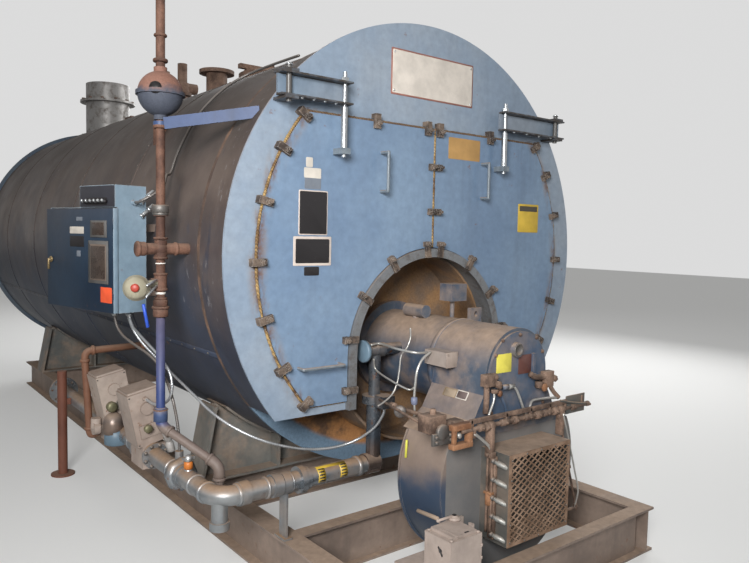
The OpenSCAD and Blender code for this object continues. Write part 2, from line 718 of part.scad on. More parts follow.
module gas_pipe() color([0.55, 0.56, 0.58]) {
    line_y0 = 0;
    valve_y = [730, 1250];
    valve_len = 170;
    difference() {
        union() {
            ycyl(gas_r, gas_turn, valve_y[0] - seat, -gas_x, gas_h);
            ycyl(gas_r, valve_y[0] + valve_len + seat, valve_y[1] - seat, -gas_x, gas_h);
            ycyl(gas_r, valve_y[1] + valve_len + seat, gas_run, -gas_x, gas_h);
            // Flanges at the valves
            for (y = [valve_y[0], valve_y[1]]) {
                ycyl(gas_r + 22, y - seat - 18, y - seat, -gas_x, gas_h);
                ycyl(gas_r + 22, y + valve_len + seat, y + valve_len + seat + 18, -gas_x, gas_h);
            }
        }
        ycyl(gas_r - 6, gas_run - 150, gas_run + 1, -gas_x, gas_h);
    }
    yflange(95, gas_r - 1, gas_run - 22, gas_run, 152.4, 4, 9.5, -gas_x, gas_h);
    // The corner at the front, and the run to the riser
    translate([gas_turn - gas_x, gas_turn, gas_h]) rotate([0, 0, 180]) bend(gas_turn, gas_r);
    xcyl(gas_r, gas_turn - gas_x, -riser_x - 60 - seat, line_y0, gas_h);
    for (x = [105, 270])
        xcyl(gas_r + 9, x - gas_x, x + 47 - gas_x, line_y0, gas_h);
    xcyl(gas_r + 20, 410 - gas_x, 440 - gas_x, line_y0, gas_h);
    xcyl(gas_r + 10, 440 - gas_x, 465 - gas_x, line_y0, gas_h);
    // The drip leg under the corner
    leg = gas_turn * (1 - cos(45));
    zcyl(gas_r - 8, gas_h - 140, gas_h, leg - gas_x, leg);
    zcyl(gas_r, gas_h - 150, gas_h - 115, leg - gas_x, leg);
    // The union, the cock on top and the switch
    ycyl(72, 372, 402, -gas_x, gas_h);
    ycyl(gas_r + 12, 340, 430, -gas_x, gas_h);
    zcyl(11, gas_h + gas_r - 4, gas_h + 105, -gas_x, 300);
    block(-gas_x - 30, -gas_x + 30, 293, 307, gas_h + 96, gas_h + 110);
    zcyl(20, gas_h + 20, gas_h + 105 - seat, 5 - gas_x, 420);
    // The strap that stands on the skid
    block(-skid_x - 35, -skid_x - 25, -32, 32, skid_h + seat, gas_h);
    xcyl(gas_r + 8, -skid_x - 50, -skid_x - 10, line_y0, gas_h);
    block(-skid_x - 52, -skid_x - 8, -45, 45, skid_h + seat, skid_h + 10);
}
module valve_body(y) {
    block(-gas_x - 62, -gas_x + 62, y, y + 170, gas_h - 66, gas_h + 60);
    zcyl(40, gas_h + 50, gas_h + 80, -gas_x, y + 85);
}
// The box over a valve, leaning away from the boiler
module valve_head(y, lean) {
    translate([-gas_x, y, gas_h + 66]) rotate([0, -lean, 0]) {
        block(-85, 85, 0, 170, 0, 280);
        block(-78, 78, 8, 162, 279, 292);
        ycyl(34, -10, 1, 0, 190);
        block(-60, 60, -6, 1, 40, 110);
    }
}
module front_gas_valve() color([0.68, 0.64, 0.55]) {
    valve_body(730);
    valve_head(730, 12);
    ycyl(12, 705 + seat, 735, -gas_x - 50, gas_h + 303);
}
module rear_gas_valve() color([0.66, 0.62, 0.54]) {
    valve_body(1250);
    valve_head(1250, 12);
    // The small vent valve on the outer side
    xcyl(16, -gas_x - 100, -gas_x - 60, 1335, gas_h + 20);
    xcyl(38, -gas_x - 135, -gas_x - 98, 1335, gas_h + 20);
    zcyl(28, gas_h + 20, gas_h + 78, -gas_x - 115, 1335);
}
module gas_riser() color([0.5, 0.5, 0.52]) {
    r = 38;
    flange_z = axis_h - 740;
    top_z = axis_h - 470;
    xcyl(gas_r + 8, -riser_x - 60, -riser_x + 20, 0, gas_h);
    zcyl(r, gas_h - 20, flange_z, -riser_x, 0);
    sphere_r = gas_r + 6;
    translate([-riser_x, 0, gas_h]) sphere(sphere_r);
    zcyl(62, flange_z, flange_z + 40, -riser_x, 0);
    zcyl(30, flange_z + 39, top_z, -riser_x, 0);
    // The tee, its branch to the burner and its blind flange
    translate([-riser_x, 0, top_z]) sphere(38);
    xcyl(36, -riser_x - 60, -riser_x + 55, 0, top_z);
    xcyl(54, -riser_x - 82, -riser_x - 60, 0, top_z);
    difference() {
        xcyl(30, -riser_x, -100, 0, top_z);
        ycyl(burner_r + seat, -50, 50, 0, head_z);
    }
    // The box that turns the butterfly
    block(-riser_x - 40, -riser_x + 34, -125, -55, flange_z - 5, flange_z + 55);
}
module bleed_loop() color([0.45, 0.33, 0.26]) {
    x = -gas_x - 120;
    y = 1460;
    z1 = axis_h - 593;
    turn = 60;
    difference() {
        union() {
            xcyl(column_r, x, -gas_x, y, gas_h);
            translate([x, y, gas_h]) sphere(column_r + 7);
            zcyl(column_r, gas_h, z1 - turn, x, y);
            translate([x + turn, y, z1 - turn]) rotate([90, 0, 180]) bend(turn, column_r);
            xcyl(column_r, x + turn, -jacket_r / 2, y, z1);
            zcyl(column_r + 8, z1 - 240, z1 - 180, x, y);
            xcyl(column_r + 24, -jacket_r, -jacket_r / 2, y, z1);
        }
        ycyl(gas_r + seat, y - 100, y + 100, -gas_x, gas_h);
        block(-gas_x, -gas_x + 100, y - 100, y + 100, gas_h - 60, gas_h + 60);
        shell_space();
        intersection() {
            ycyl(jacket_r * 2, y - 100, y + 100, 0, axis_h);
            block(180 - jacket_r, 0, y - 100, y + 100, z1 - 100, z1 + 100);
        }
    }
}
module gas_line_post() color([0.45, 0.22, 0.16]) {
    x = -gas_x - 95;
    y = 2150;
    zcyl(75, 0, 10, x, y);
    zcyl(30, 9, gas_h + 210, x, y);
    difference() {
        block(x, -gas_x, y - 12, y + 12, gas_h - 20, gas_h + 20);
        ycyl(gas_r + seat, y - 20, y + 20, -gas_x, gas_h);
    }
}

// A pipe elbow between an upright and a level pipe, where they meet
module knuckle(p, r) translate(p) sphere(r * 1.3);
module water_column() color([0.46, 0.38, 0.34]) {
    drop_x = 215 - jacket_r;
    drop_y = 1360;
    x = -column_x;
    y = column_y;
    zcyl(column_r, column_foot, chamber_z - 120, x, y);
    zcyl(column_r, chamber_z + 120, column_top, x, y);
    // The tees, the cross and the unions
    zcyl(34, axis_h + 180, axis_h + 222, x, y);
    translate([x, y, axis_h + 27]) sphere(34);
    zcyl(29, axis_h - 13, axis_h + 67, x, y);
    xcyl(27, x - 80, x, y, axis_h + 27);
    xcyl(33, x - 112, x - 78, y, axis_h + 27);
    difference() {
        xcyl(27, x, -jacket_r + 20, y, axis_h + 27);
        shell_space();
    }
    zcyl(29, axis_h - 165, axis_h - 95, x, y);
    xcyl(20, x - 48 + seat, x, y, axis_h - 130);
    zcyl(28, axis_h - 240, axis_h - 200, x, y);
    // The upper run, and its drop to the jacket
    knuckle([x, y, column_top], column_r);
    bar([x, y, column_top], [drop_x, drop_y, column_top], column_r);
    knuckle([drop_x, drop_y, column_top], column_r);
    difference() {
        union() {
            zcyl(column_r, axis_h, column_top, drop_x, drop_y);
            zcyl(column_r + 20, axis_h, axis_h + 730, drop_x, drop_y);
        }
        shell_space();
    }
}
module float_chamber() color([0.3, 0.36, 0.45]) {
    x = -column_x;
    y = column_y;
    translate([x, y, chamber_z]) sphere(chamber_r);
    zcyl(30, chamber_z - 120 + seat, chamber_z + 120 - seat, x, y);
    zcyl(chamber_r + 8, chamber_z - 9, chamber_z + 9, x, y);
}
module level_switch() color([0.5, 0.5, 0.5]) {
    x = -column_x - 110;
    y = column_y;
    z = axis_h - 130;
    ycyl(62, y - 26, y + 26, x, z);
    ycyl(48, y - 44, y - 20, x, z);
    ycyl(20, y - 56, y - 40, x, z);
    zcyl(9, z + 50, z + 105, x, y);
}
module column_bar() color([0.3, 0.42, 0.6]) {
    from = [-(casing_r - 6) * cos(34.7), 130, axis_h + (casing_r - 6) * sin(34.7)];
    to = [-column_x + 6, column_y - 30, axis_h + 606];
    d = to - from;
    difference() {
        translate(from)
            rotate([0, -asin(d[2] / norm(d)), atan2(d[1], d[0])])
                translate([0, -4, -27])
                    cube([norm(d), 8, 54]);
        ycyl(casing_r + seat, plate_t, box_y, 0, axis_h);
        zcyl(column_r + seat, axis_h + 500, axis_h + 660, -column_x, column_y);
        zcyl(30 + 2 * seat, chamber_z - 121, chamber_z, -column_x, column_y);
    }
    difference() {
        zcyl(column_r + 12, axis_h + 590, axis_h + 615, -column_x, column_y);
        zcyl(column_r + seat, axis_h + 580, axis_h + 630, -column_x, column_y);
    }
}
module column_drain() color([0.28, 0.4, 0.58]) {
    x = -column_x;
    y = column_y;
    elbow = [90 - gas_x, 190, axis_h - 930];
    zcyl(column_r, axis_h - 760, column_foot - seat, x, y);
    zcyl(32, axis_h - 480, axis_h - 430, x, y);
    zcyl(28, axis_h - 700, axis_h - 650, x, y);
    knuckle([x, y, axis_h - 760], column_r);
    bar([x, y, axis_h - 760], elbow, column_r);
    knuckle(elbow, column_r);
    zcyl(column_r, gas_h - 115, axis_h - 930, elbow[0], elbow[1]);
}

// Places in the cabinet: X into it, Y along its face, Z up from its bottom
module in_cabinet() translate([cab_x, cab_y, cab_z]) rotate([0, 0, cab_turn]) children();
module cabinet_box() color([0.5, 0.58, 0.68]) {
    wall = 3;
    shelf_w = cab_w / 2;
    in_cabinet() {
        difference() {
            block(cab_door_t + seat, cab_d, 0, cab_w, 0, cab_body_h);
            block(cab_door_t - 1, cab_d - wall, wall, cab_w - wall, wall, cab_body_h - wall);
        }
        // The back panel with its switchgear
        block(cab_d - 30, cab_d - 1, 40, cab_w - 40, 40, cab_body_h - 40);
        for (k = [0 : 3])
            block(cab_d - 85, cab_d - 29, 90 + 125 * k, 175 + 125 * k, 300, 430);
        block(cab_d - 70, cab_d - 29, 90, 550, 90, 160);
        // The switch box on top
        block(10, cab_d, 0, shelf_w, cab_body_h - 1, cab_h);
        // The glands
        for (p = [[117.5, 182], [146.7, 92.2], [168.5, 138.3]])
            zcyl(13, axis_h - 315 - cab_z, 1, p[0], p[1]);
        ycyl(13, -20, 1, 110, axis_h + 250 - cab_z);
    }
}
module cabinet_door() color([0.2, 0.28, 0.4]) in_cabinet() {
    difference() {
        block(0, cab_door_t, 0, cab_w, 0, cab_body_h - 3);
        block(8, cab_door_t + 1, 16, cab_w - 16, 16, cab_body_h - 19);
    }
    // The two windows, one over the other
    block(-6, 1, 44, 223, cab_body_h - 385, cab_body_h - 168);
    block(-5, 1, 57, 205, cab_body_h - 152, cab_body_h - 66);
    for (z = [70, cab_body_h - 110])
        zcyl(6, z, z + 50, 0, 0);
    xcyl(17, -6, 1, cab_w - 45, cab_body_h / 2 - 20);
    block(-22, -5, cab_w - 54, cab_w - 36, cab_body_h / 2 - 70, cab_body_h / 2 - 8);
}
module cabinet_bracket() color([0.35, 0.42, 0.52]) difference() {
    in_cabinet() {
        for (y = [70, cab_w - 110]) for (z = [70, cab_body_h - 120])
            block(cab_d + seat, cab_d + 400, y, y + 40, z, z + 40);
        for (y = [60, cab_w - 120])
            block(cab_d + seat, cab_d + 8, y, y + 60, 40, cab_body_h - 50);
    }
    shell_space();
}

module rear_casing() color([0.36, 0.31, 0.31]) difference() {
    ycyl(jacket_r, rear_head_y, rear_y, 0, axis_h);
    ycyl(jacket_r - jacket_wall, rear_head_y + head_t, rear_y + 1, 0, axis_h);
    zcyl(flue_r - 8, axis_h, axis_h + 2 * jacket_r, 0, flue_y);
}
module rear_plate() color([0.3, 0.36, 0.45]) {
    hatch_r = 850;
    ycyl(plate_r, rear_y + seat, rear_y_end, 0, axis_h);
    ycyl(hatch_r, rear_y_end - 1, rear_y_end + 26, 0, axis_h);
    ycyl(hatch_r - 60, rear_y_end + 25, rear_y_end + 40, 0, axis_h);
    for (i = [0 : 15])
        translate([0, 0, axis_h]) rotate([0, 22.5 * i + 11.25, 0]) {
            block(hatch_r - 42, hatch_r + 38, rear_y_end + 25, rear_y_end + 45, -18, 18);
            ycyl(10, rear_y_end + 40, rear_y_end + 70, hatch_r - 2, 0);
        }
    // The sight port
    ycyl(55, rear_y_end + 39, rear_y_end + 80, 0, axis_h + 120);
}
module flue_collar() color([0.42, 0.36, 0.34]) difference() {
    union() {
        zcyl(flue_r, axis_h + jacket_r - 60, axis_h + jacket_r + 560, 0, flue_y);
        zcyl(flue_r + 60, axis_h + jacket_r + 350, axis_h + jacket_r + 362, 0, flue_y);
        zcyl(flue_r + 60, axis_h + jacket_r + 362, axis_h + jacket_r + 374, 0, flue_y);
    }
    zcyl(flue_r - 8, axis_h + jacket_r - 61, axis_h + jacket_r + 561, 0, flue_y);
    shell_space();
    for (i = [0 : 11])
        zcyl(11, axis_h + jacket_r + 349, axis_h + jacket_r + 375,
            (flue_r + 35) * cos(30 * i), flue_y + (flue_r + 35) * sin(30 * i));
}
module steam_nozzle() color([0.45, 0.36, 0.32]) difference() {
    bore = nozzle_d / 2 - 7;
    union() {
        zcyl(nozzle_d / 2, axis_h + jacket_r - 40, nozzle_top, 0, nozzle_y);
        zcyl(140, nozzle_top - 28, nozzle_top, 0, nozzle_y);
        zcyl(150, axis_h + jacket_r - 60, axis_h + jacket_r + 14, 0, nozzle_y);
    }
    zcyl(bore, axis_h + jacket_r - 61, nozzle_top + 1, 0, nozzle_y);
    shell_space();
    for (i = [0 : 7])
        zcyl(bolt_hole / 2, nozzle_top - 29, nozzle_top + 1, nozzle_pcd / 2 * cos(45 * i + 22.5),
            nozzle_y + nozzle_pcd / 2 * sin(45 * i + 22.5));
}
module top_fittings() color([0.44, 0.36, 0.32]) difference() {
    top = axis_h + jacket_r;
    union() {
        // The manway
        zcyl(235, top - 80, top + 60, 0, 1700);
        zcyl(205, top + 59, top + 80, 0, 1700);
        block(-260, 260, 1680, 1720, top + 79, top + 110);
        zcyl(16, top + 79, top + 140, 0, 1700);
        // The two safety valves
        for (y = [3300, 3700]) {
            zcyl(45, top - 60, top + 150, 0, y);
            zcyl(80, top + 149, top + 175, 0, y);
            zcyl(62, top + 174, top + 260, 0, y);
            zcyl(42, top + 259, top + 430, 0, y);
            xcyl(48, 0, 130, y, top + 220);
        }
        // The lifting lugs
        for (y = [700, 4700]) difference() {
            block(-15, 15, y - 100, y + 100, top - 60, top + 130);
            xcyl(32, -20, 20, y, top + 80);
        }
    }
    shell_space();
}

module cabinet_conduit() color("silver") cord(cabinet_route, cord_r);
module valve_conduit() color("silver") cord(valve_route, cord_r);
module burner_conduit() color("silver") cord(burner_route, cord_r);
module jacket_conduit() color("silver") cord(jacket_route, cord_r);

skid_beam_left();
skid_beam_right();
skid_cross_members();
front_saddle();
rear_saddle();
shell_jacket();
front_tube_sheet();
smokebox_casing();
front_plate();
burner_throat();
furnace_liner();
left_door();
left_door_gasket();
left_door_dogs();
right_door();
right_door_gasket();
right_door_dogs();
left_davit_arm();
right_davit_arm();
davit_brackets();
burner_housing();
burner_cover();
blower_scroll();
blower_motor();
air_box();
air_box_grille();
damper_linkage();
jackshaft();
modulating_motor();
fuel_valve();
junction_box();
gas_pipe();
front_gas_valve();
rear_gas_valve();
gas_riser();
bleed_loop();
gas_line_post();
water_column();
float_chamber();
level_switch();
column_bar();
column_drain();
cabinet_box();
cabinet_door();
cabinet_bracket();
rear_casing();
rear_plate();
flue_collar();
steam_nozzle();
top_fittings();
cabinet_conduit();
valve_conduit();
burner_conduit();
jacket_conduit();
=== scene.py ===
# %% [markdown]
# # An old fire-tube boiler, dressed in Blender
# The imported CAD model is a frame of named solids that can't be moved. Everything here is laid over it:
# finishes for its solids, and the small pieces that a drawing of the main parts leaves out. One unit is a
# metre, X runs to the right, Y to the rear and Z up, as in the CAD model.

# %% Load the frame
import bpy
import math
import numpy as np
from mathutils import Matrix, Vector


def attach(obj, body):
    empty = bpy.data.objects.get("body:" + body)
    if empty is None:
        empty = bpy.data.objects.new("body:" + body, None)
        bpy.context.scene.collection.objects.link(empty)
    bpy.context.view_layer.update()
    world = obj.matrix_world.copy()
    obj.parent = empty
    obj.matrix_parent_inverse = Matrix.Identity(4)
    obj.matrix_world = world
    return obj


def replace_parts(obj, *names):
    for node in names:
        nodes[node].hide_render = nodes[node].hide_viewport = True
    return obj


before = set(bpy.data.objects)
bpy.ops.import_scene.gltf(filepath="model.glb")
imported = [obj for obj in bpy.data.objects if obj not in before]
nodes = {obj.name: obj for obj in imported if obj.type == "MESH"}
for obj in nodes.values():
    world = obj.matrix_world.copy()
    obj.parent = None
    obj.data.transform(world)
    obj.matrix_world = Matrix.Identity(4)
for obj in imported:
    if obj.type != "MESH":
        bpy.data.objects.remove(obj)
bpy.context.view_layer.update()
AXIS = 1.545            # height of the shell's axis
SHELL_R = 1.165         # outside of the jacket
DOOR_Y = -0.018         # front face of the doors
DOORS_R = 1.04          # the doors' rounded outline
SEAM_RISE = 0.667       # their straight top, over the axis
print(len(nodes), "nodes")

# %% [markdown]
# ## The camera
# The photograph was taken by someone who stood to the left, at eye height, with the camera a little tipped
# down and rolled. The focal length comes from the picture: 690 pixels across a picture 749 pixels wide.

# %% Place the camera
PICTURE_W = 749
FOCAL_PX = 689.6
EYE = Vector((-2.519, -2.712, 1.663))
YAW, PITCH, ROLL = 0.6695, 0.0690, 0.0208

ahead = Vector((math.sin(YAW) * math.cos(PITCH), math.cos(YAW) * math.cos(PITCH), -math.sin(PITCH)))
level = Vector((math.cos(YAW), -math.sin(YAW), 0))
lift = level.cross(ahead)
right = math.cos(ROLL) * level + math.sin(ROLL) * lift
up = math.cos(ROLL) * lift - math.sin(ROLL) * level
camera = bpy.data.objects.new("camera", bpy.data.cameras.new("camera"))
camera.data.sensor_width = 36
camera.data.lens = 36 * FOCAL_PX / PICTURE_W
camera.matrix_world = Matrix.Translation(EYE) @ Matrix((right, up, -ahead)).transposed().to_4x4()
bpy.context.scene.collection.objects.link(camera)
bpy.context.scene.camera = camera
print("lens", round(camera.data.lens, 1), "mm")

# %% [markdown]
# ## Surfaces from numbers
# A mesh here is a grid of points: one direction runs round or along the piece, the other across it. numpy
# works out all the points at once, and one helper turns the grid into faces.

# %% Turn a grid of points into a piece
def add_mesh(name, points, faces, finish, body="boiler", smooth=True, slot=None):
    """A piece from points (n, 3) and faces, riding on one CAD body."""
    points, faces = outward(points, faces)
    mesh = bpy.data.meshes.new(name)
    mesh.from_pydata(points.tolist(), [], faces)
    mesh.validate()
    mesh.polygons.foreach_set("use_smooth", np.full(len(mesh.polygons), smooth))
    mesh.update()
    piece = bpy.data.objects.new(name, mesh)
    bpy.context.scene.collection.objects.link(piece)
    if finish is not None:
        mesh.materials.append(finish)
    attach(piece, body)
    return piece


def grid_faces(rows, columns):
    """Quads between rings of points that close on themselves, with a cap on each end."""
    i, j = np.meshgrid(np.arange(rows - 1), np.arange(columns), indexing="ij")
    k = (j + 1) % columns
    quads = np.stack([i * columns + j, i * columns + k, (i + 1) * columns + k, (i + 1) * columns + j], -1)
    faces = quads.reshape(-1, 4).tolist()
    faces.append(list(range(columns - 1, -1, -1)))
    faces.append(list(range((rows - 1) * columns, rows * columns)))
    return faces


def outward(points, faces):
    """Faces turned over where the volume that they close in, a sum of triple products, comes out negative."""
    p = np.asarray(points, float) - np.mean(points, axis=0)
    quads = p[[face for face in faces if len(face) == 4]]
    volume = (quads[:, 0] * (np.cross(quads[:, 1], quads[:, 2]) + np.cross(quads[:, 2], quads[:, 3]))).sum()
    for cap in (p[face] for face in faces if len(face) != 4):
        volume += cap[0] @ np.cross(cap, np.roll(cap, -1, axis=0)).sum(0)
    return points, faces if volume > 0 else [face[::-1] for face in faces]


def joined(parts):
    """Several (points, faces) as one, so that a repeated piece is one mesh."""
    points, faces, count = [], [], 0
    for p, f in (outward(*part) for part in parts):
        points.append(p)
        faces += [[v + count for v in face] for face in f]
        count += len(p)
    return np.concatenate(points), faces


def add_parts(name, parts, finish, **more):
    """One piece made of several parts."""
    return add_mesh(name, *joined(parts), finish, **more)


print("grids can become pieces")

# %% [markdown]
# Most iron here is round. A lathe carries a profile once round an axis, and a pipe carries a circle along a
# route. Blender's curves could draw the pipes too, but a route worked out by numpy can be measured and cut
# to length.

# %% Lathes and pipes
TIP = 0.0002            # the last ring of a closed lathe, almost a point


def rim(low, high, inner, outer, slope):
    """A lathe's profile for a ring: up a slope from inner to outer, along, and down again."""
    return [(inner, low), (outer, low + slope), (outer, high - slope), (inner, high)]


def stub(radius, height):
    """A lathe's profile for a plain pin with a flat end."""
    return [(radius, 0), (radius, height), (TIP, height)]


def basis(axis):
    """Three directions at right angles, the last along axis."""
    z = np.array(axis, float) / np.linalg.norm(axis)
    x = np.cross([0.0, 0.0, 1.0] if abs(z[2]) < 0.9 else [0.0, 1.0, 0.0], z)
    x /= np.linalg.norm(x)
    return np.stack([x, np.cross(z, x), z])


def turned(profile, place, axis, sides=24, spin=0.0):
    """A lathe: profile is (radius, height) pairs, carried once round axis through place."""
    r, h = np.array(profile, float).T
    a = np.arange(sides) * 2 * np.pi / sides + spin
    local = np.stack([r[:, None] * np.cos(a), r[:, None] * np.sin(a), h[:, None] * np.ones_like(a)], -1)
    points = local.reshape(-1, 3) @ basis(axis) + np.array(place, float)
    return points, grid_faces(len(r), sides)


def tube(route, radius, sides=8):
    """A circle carried along a route; each ring is square to the way the route goes there."""
    p = np.array(route, float)
    way = np.gradient(p, axis=0)
    way /= np.linalg.norm(way, axis=1)[:, None]
    side = np.cross(way, [0.31, 0.93, 0.2])
    side /= np.linalg.norm(side, axis=1)[:, None]
    other = np.cross(way, side)
    a = np.arange(sides) * 2 * np.pi / sides
    rings = p[:, None] + radius * (np.cos(a)[:, None] * side[:, None] + np.sin(a)[:, None] * other[:, None])
    return rings.reshape(-1, 3), grid_faces(len(p), sides)


def curve_through(points, count):
    """A smooth line through the points: Catmull-Rom, which blends each four neighbours by a cubic."""
    p = np.array(points, float)
    p = np.vstack([2 * p[0] - p[1], p, 2 * p[-1] - p[-2]])
    t = np.linspace(0, len(p) - 3 - 1e-9, count)
    i = t.astype(int)
    u = (t - i)[:, None]
    a, b, c, d = p[i], p[i + 1], p[i + 2], p[i + 3]
    return 0.5 * (2 * b + (c - a) * u + (2 * a - 5 * b + 4 * c - d) * u**2 + (3 * b - a - 3 * c + d) * u**3)


def rod(start, end, radius, sides=16):
    """A straight round bar between two points, its ends a little rounded."""
    start, end = np.array(start, float), np.array(end, float)
    long, edge = float(np.linalg.norm(end - start)), min(0.002, radius * 0.3)
    return turned(rim(0, long, radius - edge, radius, edge), start, end - start, sides)


def swept(corners, radius, bend=0.04, sides=16):
    """A pipe along straight runs; each corner is rounded by a parabola between its two tangents."""
    p, t = [np.array(c, float) for c in corners], np.linspace(0, 1, 9)[:, None]
    route = [p[0]]
    for a, b, c in zip(p, p[1:], p[2:]):
        start, end = b + (a - b) / np.linalg.norm(a - b) * bend, b + (c - b) / np.linalg.norm(c - b) * bend
        route += list((1 - t) ** 2 * start + 2 * t * (1 - t) * b + t * t * end)
    return tube(route + [p[-1]], radius, sides)


print("lathes and pipes ready")

# %% [markdown]
# Boxes and plates have small rounded edges, which catch the light as real ones do. A box is a ball whose
# eight corners are pulled apart, and a plate is a rounded outline in three steps from its back to its face.

# %% Boxes and plates
def rounded_box(low, high, edge=0.004, turns=12):
    """A ball pulled apart into its eight corners: edge * direction + the corner's own centre."""
    low, high = np.array(low, float), np.array(high, float)
    half = (high - low) / 2
    edge = min(edge, *(half * 0.98))
    v = (np.arange(turns // 2) + 0.5) * np.pi / (turns // 2)
    u = (np.arange(turns) + 0.5) * 2 * np.pi / turns
    across = np.sin(v)[:, None]
    d = np.stack([across * np.cos(u), across * np.sin(u), np.cos(v)[:, None] * np.ones_like(u)], -1)
    points = edge * d + np.sign(d) * (half - edge) + (low + high) / 2
    # the first and last rings are drawn flat, so the end faces stay flat
    points[0, :, 2], points[-1, :, 2] = high[2], low[2]
    return points.reshape(-1, 3)[::-1], grid_faces(turns // 2, turns)


def panel(x, z, y, thick, corner=0.006, steps=5):
    """A thin plate seen from the front: a rounded outline, carried over its edge to its face."""
    a = np.linspace(0, np.pi / 2, steps)
    left, right, low, high = x[0] + corner, x[1] - corner, z[0] + corner, z[1] - corner
    centres = [(right, high), (left, high), (left, low), (right, low)]
    out = [np.stack([np.cos(a + k * np.pi / 2), np.sin(a + k * np.pi / 2)], -1) for k in range(4)]
    rings = []
    for grow, depth in ((0, 0), (0, -thick * 0.6), (-0.25, -thick)):
        flat = np.concatenate([np.array(c) + corner * (1 + grow) * o for c, o in zip(centres, out)])
        rings.append(np.stack([flat[:, 0], np.full(len(flat), y + depth), flat[:, 1]], -1))
    return np.concatenate(rings), grid_faces(3, 4 * steps)


print("boxes and plates ready")

# %% [markdown]
# ## Materials as arithmetic
# A finish is worked out like a sum: paint here, dust where the surface looks up, rust where noise is high.
# One small class wraps a socket, so that `1 - mask` or `mask * 0.3` add their own Math nodes.

# %% A socket that can be added and multiplied
class Value:
    """One output of a node. Each operator adds the Math node that works it out."""
    def __init__(self, graph, socket):
        self.graph, self.socket = graph, socket

    def _sum(self, operation, *terms):
        return self.graph.node("ShaderNodeMath", dict(enumerate(terms)), operation=operation)

    def __add__(self, other): return self._sum("ADD", self, other)
    def __radd__(self, other): return self._sum("ADD", other, self)
    def __sub__(self, other): return self._sum("SUBTRACT", self, other)
    def __rsub__(self, other): return self._sum("SUBTRACT", other, self)
    def __mul__(self, other): return self._sum("MULTIPLY", self, other)
    def __rmul__(self, other): return self._sum("MULTIPLY", other, self)
    def __pow__(self, other): return self._sum("POWER", self, other)
    def __gt__(self, other): return self._sum("GREATER_THAN", self, other)
    def __lt__(self, other): return self._sum("LESS_THAN", self, other)
    def bigger(self, other): return self._sum("MAXIMUM", self, other)
    def smaller(self, other): return self._sum("MINIMUM", self, other)
    def size(self): return self._sum("ABSOLUTE", self)


def rgba(colour):
    """A node's colour as it is, or three numbers with an alpha of 1."""
    return colour if isinstance(colour, Value) else (*colour, 1)


print("sums of sockets ready")

# %% [markdown]
# A finish could be built by hand in the shader editor, node by node. Here one method adds any node, with
# its settings first and its inputs after them, and short methods name what the finishes ask for again and
# again: noise, a ramp, a mix, a tint, the share of a surface that looks up, and sharp edges.

# %% One finish and the nodes it is made of
class Graph:
    """A tree of nodes, emptied, and the one way in which nodes come into it."""
    def __init__(self, tree):
        self.tree = tree
        tree.nodes.clear()

    def node(self, kind, values=None, out=0, **settings):
        made = self.tree.nodes.new(kind)
        for key, value in settings.items():
            setattr(made, key, value)
        for key, value in (values or {}).items():
            if isinstance(value, Value):
                self.tree.links.new(value.socket, made.inputs[key])
            else:
                made.inputs[key].default_value = value
        return Value(self, made.outputs[out])

    def ends_in(self, kind, shader):
        """The output node of this tree, fed by a shader."""
        self.tree.links.new(shader.socket, self.tree.nodes.new(kind).inputs[0])


class Finish(Graph):
    """A material whose patterns lie in the piece's own coordinates."""
    def __init__(self, name, seed=0.0):
        self.material = bpy.data.materials.new(name)
        self.material.use_nodes = True
        super().__init__(self.material.node_tree)
        self.seed = seed
        self.place = self.node("ShaderNodeTexCoord", out="Object")
        self.x, self.y, self.z = self.axes(self.place)

    def axes(self, vector):
        made = self.tree.nodes.new("ShaderNodeSeparateXYZ")
        self.tree.links.new(vector.socket, made.inputs[0])
        return [Value(self, s) for s in made.outputs]

    def noise(self, scale, detail=4.0, rough=0.55, stretch=(1, 1, 1), shift=0.0):
        s = self.seed + shift
        moved = self.node("ShaderNodeMapping", {0: self.place, 1: (s, 1.7 * s, -s), 3: stretch})
        settings = {"Vector": moved, "Scale": scale, "Detail": detail, "Roughness": rough}
        return self.node("ShaderNodeTexNoise", settings)

    def ramp(self, value, low, high, start=0.0, end=1.0, smooth=True):
        kind = "SMOOTHSTEP" if smooth else "LINEAR"
        return self.node("ShaderNodeMapRange", {0: value, 1: low, 2: high, 3: start, 4: end},
                         interpolation_type=kind)

    def mix(self, share, a, b):
        return self.node("ShaderNodeMix", {0: share, 6: rgba(a), 7: rgba(b)}, out=2, data_type="RGBA")

    def tint(self, colour, by):
        sockets = {0: 1.0, 6: rgba(colour), 7: by}
        return self.node("ShaderNodeMix", sockets, out=2, data_type="RGBA", blend_type="MULTIPLY")

    def grained(self, colour, grain, low, high):
        """A colour made darker and lighter by a fine noise, between two shares of itself."""
        return self.tint(colour, self.ramp(grain, 0.2, 0.8, low, high, smooth=False))

    def facing_up(self, low=0.1, high=0.9):
        normal = self.node("ShaderNodeNewGeometry", out="Normal")
        return self.ramp(self.axes(normal)[2], low, high)

    def edges(self, radius):
        """1 along sharp edges: there the normal of a rounded corner leans away from the face's own."""
        rounded = self.node("ShaderNodeBevel", {"Radius": radius}, samples=4)
        flat = self.node("ShaderNodeNewGeometry", out="Normal")
        along = self.node("ShaderNodeVectorMath", {0: rounded, 1: flat}, out="Value", operation="DOT_PRODUCT")
        return self.ramp(1 - along, 0.015, 0.2)

    def bump(self, height, depth):
        return self.node("ShaderNodeBump", {"Height": height, "Distance": depth, "Strength": 1.0})

    def done(self, colour, roughness, metallic=0.0, normal=None, **fixed):
        links = {"Base Color": rgba(colour), "Roughness": roughness, "Metallic": metallic, **fixed}
        if normal is not None:
            links["Normal"] = normal
        self.ends_in("ShaderNodeOutputMaterial", self.node("ShaderNodeBsdfPrincipled", links))
        return self.material


DUST = (0.36, 0.26, 0.19)
RUST = (0.19, 0.075, 0.03)
print("finishes can be made")

